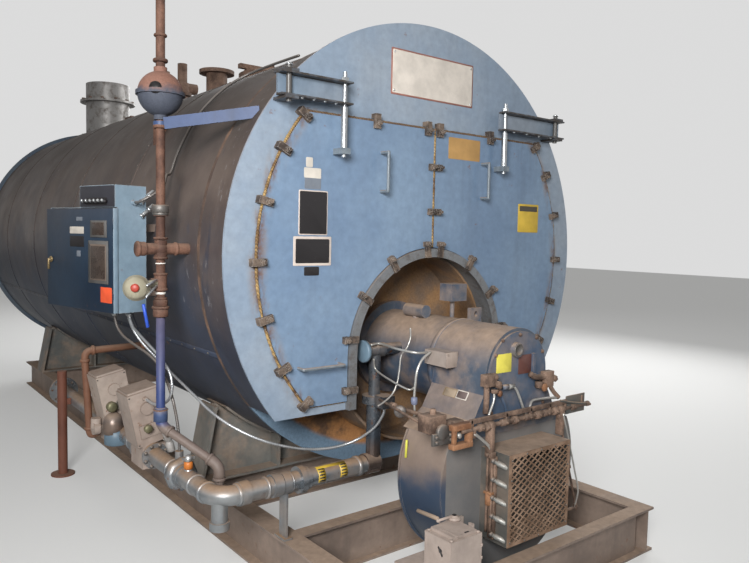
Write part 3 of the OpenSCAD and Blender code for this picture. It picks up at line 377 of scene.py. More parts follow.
# %% [markdown]
# ## Paint that has stood in a plant room
# Every sheet here was sprayed once and has stood for decades. Paint fades in broad clouds, grime runs down
# it, dust lies on whatever looks up, and rust comes through in spots. One recipe gives all of these, with
# its own colours and amounts for each part of the boiler.

# %% The recipe for old paint
def old_paint(name, base, faded, dust=0.6, rust=0.1, runs=0.4, seed=0.0, rough=0.5, upward_colour=DUST,
              film=0.0, worn=0.0, worn_colour=(0.24, 0.19, 0.16), metal=0.0, extra=None):
    """Clouds of base and faded, streaks that run down, dust by the upward part of the normal, rust in spots.
    film is dust that clings to upright faces in patches, and worn is what shows along sharp edges."""
    f = Finish(name, seed)
    clouds = f.noise(1.6, 5.0, 0.6)
    fine = f.noise(26.0, 3.0, 0.6, shift=4.0)
    colour = f.mix(f.ramp(clouds, 0.34, 0.66), base, faded)
    streaks = f.ramp(f.noise(9.0, 4.0, 0.6, stretch=(1.0, 1.0, 0.07), shift=2.0), 0.5, 0.75)
    grime = f.mix(0.5, colour, (0.05, 0.045, 0.045))
    colour = f.mix(streaks * runs, colour, grime)
    colour = f.grained(colour, fine, 0.84, 1.1)
    spots = f.ramp(f.noise(17.0, 5.0, 0.7, shift=7.0), 0.66 - 0.1 * rust, 0.74 - 0.1 * rust)
    spots = spots * f.ramp(f.noise(2.1, 2.0, shift=9.0), 0.48, 0.62)
    colour = f.mix((spots * min(1.0, rust * 4)).smaller(1.0), colour, RUST)
    if extra:
        colour = extra(f, colour)
    patches = f.noise(5.0, 5.0, 0.65, shift=5.0)
    settled = f.facing_up(0.05, 0.85) * f.ramp(patches, 0.2, 0.6, 0.55, 1.0) * dust
    if film:
        settled = settled.bigger(f.ramp(patches, 0.42, 0.66) * film)
    colour = f.mix(settled, colour, f.grained(upward_colour, fine, 0.75, 1.2))
    if worn:
        colour = f.mix(f.edges(0.005) * f.ramp(fine, 0.3, 0.6, 0.35, 1.0) * worn, colour, worn_colour)
    roughness = f.ramp(clouds, 0.3, 0.7, rough - 0.06, rough + 0.1) + settled * 0.35
    return f.done(colour, roughness.smaller(0.95), metallic=(1 - settled) * metal if metal else 0.0,
                  normal=f.bump(fine + spots * 0.6 + settled * 0.3, 0.0007))


def rusty_metal(name, dark, light, dusty=0.5, seed=0.0, bare=0.0):
    """Iron under rust: two scales of noise choose between dark and lighter rust, and sharp edges are bare."""
    f = Finish(name, seed)
    broad = f.noise(9.0, 5.0, 0.65)
    grain = f.noise(120.0, 4.0, 0.7, shift=3.0)
    colour = f.mix(f.ramp(broad, 0.35, 0.65), dark, light)
    colour = f.grained(colour, grain, 0.6, 1.3)
    settled = f.facing_up(0.0, 0.8) * dusty
    colour = f.mix(settled, colour, DUST)
    if bare:
        colour = f.mix(f.edges(0.003) * f.ramp(grain, 0.35, 0.6) * bare, colour, (0.42, 0.38, 0.34))
    return f.done(colour, 0.86 - 0.2 * broad, normal=f.bump(grain + broad, 0.0012))


def worn_metal(name, tone, seed=0.0, dusty=0.35, rough=0.4, metal=0.85, stain=0.3):
    """Bare or zinc-coated metal, gone dull: stains lower the shine, dust lies on top."""
    f = Finish(name, seed)
    stains = f.ramp(f.noise(13.0, 5.0, 0.65), 0.45, 0.7)
    grain = f.noise(160.0, 3.0, 0.6, shift=3.0)
    colour = f.grained(tone, grain, 0.85, 1.1)
    colour = f.mix(stains * stain, colour, (0.11, 0.08, 0.06))
    settled = f.facing_up(0.1, 0.9) * dusty
    colour = f.mix(settled, colour, DUST)
    return f.done(colour, (rough + 0.3 * stains + 0.3 * settled).smaller(0.95),
                  metallic=(1 - settled) * metal, normal=f.bump(grain, 0.0004))
print("recipes ready")

# %% [markdown]
# ## Finishes for the shell and its front
# The front was sprayed light blue, and rust has run down it from the edge of the doors. The davits' flanges
# are darkened, partly by grime and partly as painted shade on the lower flange, and their hinge pins and the
# doors' handles are bare steel: a height or a depth tells them apart.

# %% Front, doors and davits
FRONT_BLUE = (0.15, 0.225, 0.335)
# A dark grime colour, also used as painted shade on the davits' lower flange.
GRIME_AND_SHADE = (0.045, 0.036, 0.03)


def rust_by_seam(f, colour):
    """Rust that has run down from the doors' edge: near the seam's circle, where stretched noise is high."""
    rise = f.z - AXIS
    off = ((f.x * f.x + rise * rise) ** 0.5 - DOORS_R).size()
    trails = f.ramp(f.noise(9.0, 4.0, 0.65, stretch=(1.0, 1.0, 0.4), shift=21.0), 0.42, 0.6)
    fine = f.ramp(f.noise(70.0, 3.0, 0.7, shift=22.0), 0.3, 0.7, 0.5, 1.0)
    beside = f.ramp(off, 0.062, 0.004) * (rise.size() < 0.69)
    tone = f.mix(f.ramp(off, 0.0, 0.04), (0.13, 0.055, 0.025), (0.27, 0.19, 0.13))
    return f.mix(beside * trails * fine * 0.9, colour, tone)


front_blue = old_paint("front blue", (0.23, 0.295, 0.38), (0.3, 0.35, 0.41), dust=0.6, rust=0.15, runs=0.25,
                       seed=1.0, rough=0.4, extra=rust_by_seam)


def pin_and_edges(f, colour):
    """The davits: flanges darkened by grime and, on the lower one, painted shade; the hinge pins between them
    are bare steel.
    """
    flange = (f.z > AXIS + 0.8035).bigger(f.z < AXIS + 0.7205)
    out = ((f.x.size() - 0.93) ** 2 + (f.y + 0.075) ** 2) ** 0.5
    # Grime and painted shade: the flanges get a dark mix, which on the lower flange stands for shade.
    grimy_and_shaded = f.mix(flange * f.ramp(f.noise(25.0, 4.0, shift=23.0), 0.3, 0.6, 0.65, 1.0), colour, GRIME_AND_SHADE)
    return f.mix(out < 0.0145, grimy_and_shaded, (0.09, 0.085, 0.08))


davit_blue = old_paint("davit blue", (0.16, 0.215, 0.28), (0.24, 0.28, 0.33), dust=0.5, rust=0.2, runs=0.4,
                       seed=2.0, rough=0.42, upward_colour=(0.17, 0.125, 0.095), worn=0.9, worn_colour=GRIME_AND_SHADE,
                       extra=pin_and_edges)


def steel_in_front(f, colour):
    """The grab handles stand off the doors, so whatever lies before the door's face is pale steel."""
    stained = rust_by_seam(f, colour)
    steel = f.mix(f.noise(40.0, 3.0), (0.06, 0.08, 0.1), (0.26, 0.3, 0.33))
    return f.mix(f.y < DOOR_Y - 0.004, stained, steel)


door_blue = old_paint("door blue", FRONT_BLUE, (0.205, 0.29, 0.4), dust=0.6, rust=0.18, runs=0.3, seed=3.0,
                      rough=0.38, extra=steel_in_front)


print("front paints ready")

# %% [markdown]
# The jacket was navy. Dust has browned it from its crown down, rubbed places show the navy again, and pale
# drips have dried on it. Its top is also painted darker than dust alone: painted shade over the grazing-lit
# crown. Each is a mask from height or noise, and the masks are mixed one over the other.

# %% The jacket's paint
def dust_drips_and_top_shade(f, colour):
    """Dust that climbs, more of it higher up, with scuffs and pale drips where rubbed; the darkest brown on
    top is painted shade.
    """
    high = f.ramp(f.z + (f.noise(2.3, 4.0) - 0.5) * 1.0, AXIS - 0.5, AXIS + 0.3)
    rubbed = f.ramp(f.noise(9.0, 5.0, 0.7, stretch=(1.0, 1.0, 0.35), shift=6.0), 0.58, 0.7)
    drips = f.ramp(f.noise(34.0, 4.0, 0.75, stretch=(1.0, 1.0, 0.3), shift=8.0), 0.6, 0.68)
    drips = drips * f.ramp(f.noise(2.6, 2.0, shift=12.0), 0.5, 0.62)
    dust = f.mix(f.ramp(f.noise(3.0, 4.0, shift=11.0), 0.3, 0.7), (0.072, 0.05, 0.041), (0.145, 0.107, 0.086))
    brown = f.mix((high * (1 - 0.6 * rubbed)) * 0.95, colour, dust)
    # Painted shade: the crown, lit at a grazing angle, is darkened to a near-black brown over the dust.
    crown = f.ramp(f.z + (f.noise(4.0, 4.0, shift=16.0) - 0.5) * 0.4, AXIS + 0.3, AXIS + 1.0)
    brown = f.mix(crown * 0.85, brown, (0.035, 0.026, 0.021))
    return f.mix(drips * 0.6, brown, (0.32, 0.31, 0.32))


# The jacket's up-facing colour is darker than dust alone: it is dust and painted shade on the top.
jacket_paint = old_paint("jacket paint", (0.014, 0.02, 0.038), (0.036, 0.048, 0.078), dust=0.7, rust=0.2,
                         runs=0.55, seed=5.0, rough=0.45, upward_colour=(0.05, 0.036, 0.029),
                         extra=dust_drips_and_top_shade)
print("jacket paint ready")

# %% [markdown]
# The burner was blue too. Warm dust lies thick on it, and its blower shows blue enamel only low on its
# sides.

# %% The burner's paints
burner_paint = old_paint("burner paint", (0.04, 0.065, 0.11), (0.085, 0.11, 0.145), dust=1.0, rust=0.2,
                         runs=0.5, seed=8.0, rough=0.45, film=0.55, worn=0.8)


def blue_low_down(f, colour):
    """The blower's scroll: brown dust above and blue enamel below on its sides, and a grey, rubbed front."""
    low = f.ramp(f.z + (f.noise(4.0, 4.0, shift=13.0) - 0.5) * 0.35, AXIS - 0.88, AXIS - 1.04)
    dusty = f.mix(f.noise(7.0, 5.0, 0.65, shift=14.0), (0.16, 0.12, 0.1), (0.27, 0.21, 0.175))
    enamel = f.mix(f.noise(5.0, 4.0, shift=15.0), (0.02, 0.045, 0.1), (0.065, 0.085, 0.11))
    sides = f.mix(low, dusty, enamel)
    front = (f.x > -0.435) * (f.y < -0.6)
    grey = f.mix(f.noise(8.0, 5.0, 0.65, shift=17.0), (0.115, 0.13, 0.14), (0.25, 0.225, 0.205))
    return f.mix(front * 0.9, sides, grey)


scroll_paint = old_paint("scroll paint", (0.04, 0.065, 0.11), (0.085, 0.11, 0.145), dust=0.9, rust=0.2,
                         runs=0.4, seed=31.0, rough=0.42, worn=0.8, worn_colour=(0.28, 0.24, 0.21),
                         extra=blue_low_down)
cover_paint = old_paint("cover paint", (0.05, 0.085, 0.145), (0.1, 0.13, 0.175), dust=0.9, rust=0.3,
                        runs=0.5, seed=9.0, film=0.35, worn=0.8)
rear_blue = old_paint("rear blue", (0.085, 0.125, 0.18), (0.13, 0.165, 0.2), dust=0.8, rust=0.5, runs=0.7,
                      seed=35.0)
box_paint = old_paint("air box paint", (0.055, 0.062, 0.06), (0.1, 0.095, 0.085), dust=1.0, rust=0.35,
                      runs=0.6, seed=10.0, film=0.25, worn=0.6, worn_colour=(0.25, 0.2, 0.165))
print("burner paints ready")

# %% [markdown]
# The skid and saddles, the cabinet, the column and the gas line each had a paint of their own. The drain
# and the riser change colour on their way down, by a ramp on height with a little noise in it.

# %% Paints of the skid, the cabinet and the pipes
skid_paint = old_paint("skid paint", (0.18, 0.135, 0.11), (0.33, 0.25, 0.2), dust=1.0, rust=0.4, runs=0.6,
                       seed=12.0, worn=0.6)
saddle_paint = old_paint("saddle paint", (0.14, 0.15, 0.145), (0.27, 0.24, 0.205), dust=0.9, rust=0.3,
                         runs=0.7, seed=13.0, film=0.6, worn=0.6)
cabinet_blue = old_paint("cabinet blue", (0.2, 0.29, 0.365), (0.25, 0.335, 0.41), dust=0.5, rust=0.12,
                         runs=0.15, seed=14.0, worn=0.7, worn_colour=(0.42, 0.39, 0.35))
cabinet_navy = old_paint("cabinet navy", (0.0065, 0.018, 0.038), (0.013, 0.032, 0.06), dust=0.35, rust=0.05,
                         runs=0.2, seed=15.0, rough=0.42, worn=0.5)
bar_blue = old_paint("bar blue", (0.03, 0.06, 0.16), (0.055, 0.085, 0.17), dust=0.6, rust=0.15, runs=0.5,
                     seed=16.0)


def dusty_foot(f, colour):
    """The drain is blue down to its union, and brown with dust from there on."""
    low = f.ramp(f.z + f.noise(30.0, 3.0) * 0.02, AXIS - 0.79, AXIS - 0.81)
    return f.mix(low, colour, f.mix(f.noise(18.0, 4.0), (0.11, 0.075, 0.06), (0.22, 0.175, 0.15)))


drain_blue = old_paint("drain blue", (0.022, 0.045, 0.17), (0.05, 0.07, 0.17), dust=0.5, rust=0.25,
                       runs=0.2, seed=17.0, upward_colour=(0.2, 0.15, 0.13), extra=dusty_foot)
oxide_red = old_paint("oxide red", (0.15, 0.06, 0.033), (0.24, 0.12, 0.07), dust=0.35, rust=0.6, runs=0.4,
                      seed=18.0, rough=0.65)
post_red = old_paint("post red", (0.11, 0.035, 0.02), (0.19, 0.07, 0.042), dust=0.35, rust=0.3, runs=0.5,
                     seed=19.0, rough=0.6)
beige = old_paint("valve beige", (0.33, 0.26, 0.22), (0.45, 0.37, 0.315), dust=0.6, rust=0.5, runs=0.5,
                  seed=20.0, rough=0.5, upward_colour=(0.26, 0.18, 0.13), worn=0.9,
                  worn_colour=(0.1, 0.07, 0.055))
motor_beige = old_paint("motor beige", (0.37, 0.3, 0.26), (0.46, 0.38, 0.33), dust=0.5, rust=0.12,
                        runs=0.25, seed=21.0, rough=0.5, upward_colour=(0.38, 0.3, 0.25), worn=0.35,
                        worn_colour=(0.16, 0.12, 0.1))
box_beige = old_paint("junction beige", (0.26, 0.21, 0.18), (0.36, 0.3, 0.26), dust=0.9, rust=0.2, runs=0.4,
                      seed=32.0, upward_colour=(0.36, 0.29, 0.25), worn=0.5, worn_colour=(0.16, 0.12, 0.1))
pipe_grey = old_paint("pipe grey", (0.25, 0.28, 0.31), (0.4, 0.41, 0.41), dust=1.0, rust=0.6, runs=0.3,
                      seed=22.0, rough=0.28, upward_colour=(0.3, 0.2, 0.13), film=0.4, metal=0.75)


def brown_elbow(f, colour):
    """The riser's lowest end has lost its paint: brown from the elbow up to the first union."""
    low = f.ramp(f.z + f.noise(20.0, 4.0) * 0.08, AXIS - 0.86, AXIS - 0.96)
    brown = f.mix(f.noise(30.0, 4.0, shift=24.0), (0.1, 0.06, 0.045), (0.24, 0.175, 0.14))
    return f.mix(low * 0.8, colour, brown)


riser_grey = old_paint("riser grey", (0.07, 0.09, 0.115), (0.2, 0.22, 0.24), dust=0.9, rust=0.6, runs=0.5,
                       seed=33.0, rough=0.25, film=0.35, metal=0.7, extra=brown_elbow)
print("paints ready")

# %% [markdown]
# ## Rust, bare metal, rope and castable
# The clamps and the old fittings have no paint left. The seal is a woven rope, gone ochre from heat, and
# the furnace mouth is a rough castable.

# %% Unpainted finishes
dog_rust = rusty_metal("clamp rust", (0.075, 0.045, 0.032), (0.27, 0.175, 0.125), dusty=0.25, seed=2.0,
                       bare=0.5)
iron_rust = rusty_metal("fitting rust", (0.095, 0.055, 0.038), (0.25, 0.155, 0.11), dusty=0.35, seed=4.0,
                        bare=0.4)
column_rust = rusty_metal("column rust", (0.075, 0.035, 0.024), (0.19, 0.095, 0.062), dusty=0.2, seed=6.0,
                          bare=0.2)
sheet_rust = rusty_metal("tube sheet rust", (0.13, 0.09, 0.07), (0.3, 0.17, 0.1), dusty=0.2, seed=7.0)
dark_steel = worn_metal("dark steel", (0.16, 0.15, 0.14), seed=2.0, dusty=0.6, rough=0.5, metal=0.6)
zinc = worn_metal("zinc", (0.55, 0.56, 0.56), seed=3.0, dusty=0.2, rough=0.32, metal=0.9)
bright_steel = worn_metal("bright steel", (0.6, 0.62, 0.63), seed=4.0, dusty=0.1, rough=0.25, metal=0.95,
                          stain=0.2)
throat_metal = worn_metal("throat metal", (0.24, 0.25, 0.26), seed=5.0, dusty=0.5, rough=0.5, metal=0.5,
                          stain=0.6)
flue_metal = worn_metal("flue metal", (0.3, 0.29, 0.28), seed=6.0, dusty=0.4, rough=0.45, metal=0.6,
                        stain=0.6)


def chamber_finish():
    """The float chamber: rust on its upper half, dark blue paint left below, by height and noise."""
    f = Finish("chamber", 3.0)
    broad, grain = f.noise(14.0, 5.0, 0.65), f.noise(120.0, 3.0, 0.7, shift=2.0)
    rust = f.mix(broad, (0.2, 0.09, 0.06), (0.3, 0.16, 0.12))
    paint = f.mix(broad, (0.05, 0.06, 0.085), (0.09, 0.1, 0.13))
    share = f.ramp(f.z + (broad - 0.5) * 0.08, AXIS + 0.735, AXIS + 0.775)
    return f.done(f.grained(f.mix(share, paint, rust), grain, 0.7, 1.2),
                  0.75, normal=f.bump(grain + broad, 0.001))


def rope_finish():
    """Seal rope: short diagonal strands, as a wave along x + z, under soot and rust."""
    f = Finish("rope seal", 4.0)
    wave = {"Vector": f.place, "Scale": 38.0, "Distortion": 3.0, "Detail": 2.0}
    strands = f.node("ShaderNodeTexWave", wave, bands_direction="DIAGONAL")
    soot = f.noise(16.0, 5.0, 0.6)
    colour = f.mix(f.ramp(soot, 0.35, 0.65), (0.13, 0.07, 0.03), (0.38, 0.25, 0.1))
    frayed = f.ramp(f.noise(55.0, 4.0, 0.7, shift=5.0), 0.58, 0.68)
    colour = f.mix(frayed * 0.7, colour, (0.5, 0.45, 0.37))
    colour = f.mix((f.z > AXIS + 0.655) * 0.7, colour, (0.16, 0.1, 0.07))
    return f.done(f.tint(colour, f.ramp(strands, 0.0, 1.0, 0.65, 1.15)), 0.9, normal=f.bump(strands, 0.002))


def castable_finish():
    """The furnace mouth's refractory: coarse, with orange heat stains."""
    f = Finish("castable", 5.0)
    broad, grain = f.noise(6.0, 5.0, 0.6), f.noise(70.0, 4.0, 0.7, shift=3.0)
    colour = f.mix(f.ramp(broad, 0.35, 0.65), (0.2, 0.14, 0.1), (0.33, 0.19, 0.09))
    return f.done(f.grained(colour, grain, 0.7, 1.2), 0.93, normal=f.bump(grain, 0.003))


def sheet_finish():
    """The front tube sheet: blue paint on its rim below the chord, heat-stained castable and soot inside."""
    f = Finish("tube sheet", 6.0)
    rise = f.z - AXIS
    radius = (f.x * f.x + rise * rise) ** 0.5
    broad, grain = f.noise(7.0, 5.0, 0.65), f.noise(60.0, 4.0, 0.7, shift=3.0)
    soot = f.mix(f.ramp(broad, 0.35, 0.65), (0.075, 0.05, 0.04), (0.2, 0.12, 0.08))
    stain = f.mix(f.ramp(broad, 0.4, 0.6), (0.13, 0.075, 0.045), (0.4, 0.19, 0.07))
    blue = f.mix(broad, (0.1, 0.165, 0.24), (0.17, 0.25, 0.33))
    low = f.mix(f.ramp(radius, 1.06, 1.09), stain, blue)
    colour = f.mix(f.ramp(rise, -0.76, -0.745), low, soot)
    return f.done(f.grained(colour, grain, 0.7, 1.2), 0.88, normal=f.bump(grain, 0.002))


def grille_finish():
    """Expanded metal, brown with lint and dust on every strand."""
    f = Finish("grille", 7.0)
    broad, grain = f.noise(9.0, 4.0, 0.6), f.noise(150.0, 3.0, 0.7, shift=3.0)
    colour = f.mix(f.ramp(broad, 0.35, 0.7), (0.17, 0.1, 0.06), (0.33, 0.215, 0.145))
    return f.done(f.grained(colour, grain, 0.7, 1.2), 0.85, normal=f.bump(grain, 0.001))


def rod_or_rust():
    """The clamps are rusty, while the hanger rods among them are bare bright steel."""
    f = Finish("clamps and rods", 8.0)
    broad, grain = f.noise(14.0, 5.0, 0.65), f.noise(130.0, 4.0, 0.7, shift=3.0)
    rust = f.mix(f.ramp(broad, 0.4, 0.62), (0.045, 0.032, 0.026), (0.19, 0.14, 0.105))
    rust = f.mix(f.edges(0.004) * f.ramp(grain, 0.35, 0.6) * 0.8, rust, (0.45, 0.43, 0.4))
    near = ((f.x + 0.63).size() < 0.022).bigger((f.x - 0.48).size() < 0.022)
    rod = near * (f.z > AXIS + 0.465)
    colour = f.grained(f.mix(rod, rust, (0.45, 0.47, 0.48)), grain, 0.7, 1.2)
    return f.done(colour, 0.8 - 0.45 * rod, metallic=rod * 0.9, normal=f.bump(grain, 0.0008))


print("unpainted finishes ready")

# %% [markdown]
# Every CAD solid keeps its mesh and only changes its finish. A table says which goes where, so that a new
# solid without a finish would stop the script by its name.

# %% Give every solid its finish
rope = rope_finish()
solids_in = (
    (skid_paint, "skid_beam_left skid_beam_right skid_cross_members cabinet_bracket"),
    (saddle_paint, "front_saddle rear_saddle"),
    (jacket_paint, "shell_jacket smokebox_casing rear_casing"),
    (sheet_finish(), "front_tube_sheet"),
    (front_blue, "front_plate"),
    (throat_metal, "burner_throat"),
    (castable_finish(), "furnace_liner"),
    (door_blue, "left_door right_door"),
    (davit_blue, "left_davit_arm right_davit_arm davit_brackets"),
    (burner_paint, "burner_housing blower_motor"),
    (cover_paint, "burner_cover"),
    (scroll_paint, "blower_scroll"),
    (box_paint, "air_box"),
    (grille_finish(), "air_box_grille"),
    (iron_rust, "damper_linkage jackshaft fuel_valve steam_nozzle top_fittings"),
    (motor_beige, "modulating_motor"),
    (box_beige, "junction_box"),
    (pipe_grey, "gas_pipe"),
    (beige, "front_gas_valve rear_gas_valve"),
    (riser_grey, "gas_riser"),
    (oxide_red, "bleed_loop"),
    (post_red, "gas_line_post"),
    (column_rust, "water_column"),
    (chamber_finish(), "float_chamber"),
    (dark_steel, "level_switch"),
    (bar_blue, "column_bar"),
    (drain_blue, "column_drain"),
    (cabinet_blue, "cabinet_box"),
    (cabinet_navy, "cabinet_door"),
    (rear_blue, "rear_plate"),
    (flue_metal, "flue_collar"),
    (zinc, "cabinet_conduit valve_conduit burner_conduit jacket_conduit"),
    (rope, "left_door_gasket right_door_gasket"),
    (rod_or_rust(), "left_door_dogs right_door_dogs"))
finish_of = {solid: finish for finish, solids in solids_in for solid in solids.split()}
for name, piece in nodes.items():
    piece.data.materials.clear()
    piece.data.materials.append(finish_of[name])
print(len(finish_of), "solids have a finish")

# %% [markdown]
# ## Flexible conduits
# Four metal-clad conduits hang between the cabinet, the pipework and the burner. Each is a wound strip, so
# its radius rises and falls in small ribs. A circle is carried along the route, and its radius follows a
# sine of the distance gone. The route's points are the ones that the CAD solids use.

# %% Routes and winding
CORD_R = 0.007          # half of a conduit's thickness
OVER_JACKET = 1000 * SHELL_R + 20       # the route over the jacket lies 20 mm out; routes are in millimetres


def on_jacket(angle, y):
    """A point of the route over the jacket, at an angle in degrees over the level."""
    a = math.radians(angle)
    return -OVER_JACKET * math.cos(a), y, 1000 * AXIS + OVER_JACKET * math.sin(a)


jacket_places = [(20.5, 800), (25.5, 820), (30.6, 835), (35.5, 865), (40.2, 885), (44.9, 895), (49.8, 910),
                 (54.4, 915), (58.2, 885), (60.4, 800), (61.2, 700), (61.2, 600), (61.0, 500), (60.4, 400)]
routes = {
    "cabinet_conduit": [
        (-1350, 960, 1229.7), (-1350, 960, 1212), (-1350, 955, 1190), (-1345, 930, 1145), (-1335, 880, 1110),
        (-1320, 810, 1085), (-1305, 730, 1065), (-1290, 650, 1045), (-1275, 580, 1015), (-1262, 530, 975),
        (-1250, 495, 925), (-1240, 470, 870), (-1232, 450, 810), (-1226, 435, 750), (-1222, 425, 690),
        (-1220, 420, 640), (-1220, 420, 600)],
    "valve_conduit": [
        (-1300, 880, 1229.7), (-1300, 880, 1214), (-1300, 870, 1190), (-1298, 830, 1155), (-1290, 760, 1125),
        (-1280, 670, 1090), (-1270, 580, 1055), (-1262, 500, 1020), (-1256, 450, 980), (-1252, 430, 930),
        (-1254, 435, 880), (-1260, 465, 840), (-1272, 510, 815), (-1280, 560, 805), (-1280, 610, 800),
        (-1276, 660, 798), (-1275, 682, 798), (-1275, 705, 798)],
    "burner_conduit": [
        (-1290, 930, 1229.7), (-1290, 930, 1214), (-1286, 920, 1180), (-1268, 895, 1120), (-1235, 860, 1060),
        (-1195, 805, 1000), (-1160, 730, 945), (-1135, 650, 900), (-1120, 560, 865), (-1110, 470, 835),
        (-1095, 390, 800), (-1070, 310, 765), (-1030, 240, 730), (-975, 190, 695), (-905, 155, 660),
        (-825, 130, 630), (-740, 110, 605), (-655, 95, 590), (-570, 80, 585), (-490, 60, 595),
        (-435, 30, 620), (-410, -12, 655), (-382, -50, 700), (-370, -76, 745), (-366, -90, 775),
        (-366, -90, 799.7)],
    "jacket_conduit": [
        (-1308.3, 761.8, 1795), (-1303.6, 743, 1795), (-1299, 730, 1798), (-1288, 716, 1806),
        (-1262, 700, 1822), (-1232, 698, 1842), (-1200, 706, 1866), (-1172, 726, 1900), (-1148, 760, 1942),
        *(on_jacket(a, y) for a, y in jacket_places)]}


def wound_tube(path, radius, pitch, rise, sides=10):
    """A tube whose radius is radius + rise * sin(2 pi s / pitch), s being the distance along the path."""
    gone = np.concatenate([[0], np.cumsum(np.linalg.norm(np.diff(path, axis=0), axis=1))])
    even = np.linspace(0, gone[-1], int(gone[-1] / pitch * 4))
    p = np.stack([np.interp(even, gone, path[:, k]) for k in range(3)], -1)
    points, faces = tube(p, 1.0, sides)
    grown = radius + rise * np.sin(2 * np.pi * even / pitch)
    rings = points.reshape(len(p), sides, 3)
    return (p[:, None] + (rings - p[:, None]) * grown[:, None, None]).reshape(-1, 3), faces


print(len(routes), "routes")

# %% [markdown]
# The strip is zinc. It has gone dull on two of the conduits and is still bright on the other two. A cord's
# length is the sum of its route's short steps.

# %% Make the four cords
zinc_dull = worn_metal("dull zinc", (0.2, 0.185, 0.175), seed=13.0, dusty=0.3, rough=0.45, metal=0.7)
zinc_bright = worn_metal("bright zinc", (0.62, 0.64, 0.66), seed=14.0, dusty=0.15, rough=0.3, metal=0.85,
                         stain=0.15)
for name, route in routes.items():
    path = curve_through(np.array(route) / 1000, 16 * len(route))
    finish = zinc_dull if name in ("jacket_conduit", "cabinet_conduit") else zinc_bright
    piece = add_mesh(name + "_wound", *wound_tube(path, CORD_R, 0.012, 0.0006), finish, slot="conduit_zinc")
    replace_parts(piece, name)
    path[::8].tolist() + [path[-1].tolist()]

# %% [markdown]
# ## Seal rope that shows round the doors
# The woven rope was pressed out of the joints when the doors were clamped, and now stands proud of them as
# a thin ochre line. It is a tube along the doors' outline, with a radius that wanders a little.

# %% Lay the rope beads
SEAM_Z = AXIS + SEAM_RISE
ROPE_Y = -0.0075        # the beads stand a little before the doors' edge
BEAD = 0.006            # and this far outside their outline


def wandering(path, radius, seed, share=0.25, sides=7):
    """A tube whose radius is stretched by a few sines along its length, so it looks pressed and frayed."""
    draw = np.random.default_rng(seed)
    points, faces = tube(path, 1.0, sides)
    s = np.linspace(0, 1, len(path))
    waves = sum(np.sin(2 * np.pi * (k * s + draw.random())) for k in (7, 19, 43, 71)) / 4
    rings = points.reshape(len(path), sides, 3)
    p = np.array(path)[:, None]
    return (p + (rings - p) * (radius * (1 + share * waves))[:, None, None]).reshape(-1, 3), faces


for side, name in ((-1, "left"), (1, "right")):
    body = name + "_smokebox_door"
    turn = np.linspace(math.asin(SEAM_RISE / DOORS_R), -math.asin(0.705 / DOORS_R), 150)
    out = DOORS_R + BEAD
    edge = np.stack([side * out * np.cos(turn), np.full(150, ROPE_Y), AXIS + out * np.sin(turn)], -1)
    top = np.linspace(side * BEAD, side * out * math.cos(turn[0]), 90)
    top = np.stack([top, np.full(90, ROPE_Y), np.full(90, SEAM_Z + BEAD)], -1)
    beads = [wandering(edge, 0.0072, 3 + side), wandering(top, 0.0068, 9 + side)]
    add_parts(name + "_edge_rope", beads, rope, body=body, slot="rope_seal")
rise = np.linspace(AXIS + 0.052, SEAM_Z + 0.004, 80)
middle = np.stack([np.zeros(80), np.full(80, -0.0165), rise], -1)
add_mesh("middle_rope", *wandering(middle, 0.0068, 21, 0.15), rope, "left_smokebox_door", slot="rope_seal")
print("ropes laid")

# %% [markdown]
# ## Bare plates and labels
# The front carries a large sign, two dark data plates, a yellow and an orange label and scraps of a torn
# one. They stay bare here, as thin plates with rounded corners and the scuffs of old enamel.

# %% Enamel and paper
def label(name, colour, seed, scuff=0.35, rough=0.45, under=(0.3, 0.27, 0.23)):
    """A flat colour that has aged: a faint cloud over all of it, and scuffs where noise is high."""
    f = Finish(name, seed)
    cloud = f.noise(9.0, 4.0)
    scuffs = f.ramp(f.noise(60.0, 5.0, 0.7, shift=3.0), 0.6, 0.72) * f.ramp(cloud, 0.4, 0.6) * scuff
    aged = f.tint(colour, f.ramp(cloud, 0.3, 0.7, 0.82, 1.08))
    return f.done(f.mix(scuffs, aged, under), rough + scuffs * 0.3, normal=f.bump(scuffs, 0.0004))


print("labels can be made")

# %% [markdown]
# Each plate is a row in a table: its width, its height over the axis, the face that it lies on, its
# thickness, its finish and the body that carries it. Plates on the doors swing with them.

# %% Lay the plates
ivory = label("ivory enamel", (0.66, 0.6, 0.53), 1.0)
sign_rim = label("sign rim", (0.3, 0.13, 0.1), 2.0)
black_plate = label("black plate", (0.013, 0.011, 0.012), 3.0, scuff=0.12, under=(0.16, 0.14, 0.13))
pale_rim = label("pale rim", (0.62, 0.53, 0.47), 4.0)
paper = label("torn paper", (0.62, 0.57, 0.5), 5.0, scuff=0.7, rough=0.85)
worn_paper = label("worn paper", (0.16, 0.18, 0.21), 6.0, scuff=0.6, rough=0.85)
yellow = label("yellow label", (0.62, 0.42, 0.05), 7.0)
dark_band = label("dark band", (0.06, 0.05, 0.035), 8.0)
orange_paper = label("orange paper", (0.48, 0.28, 0.1), 9.0, scuff=0.5, rough=0.8)

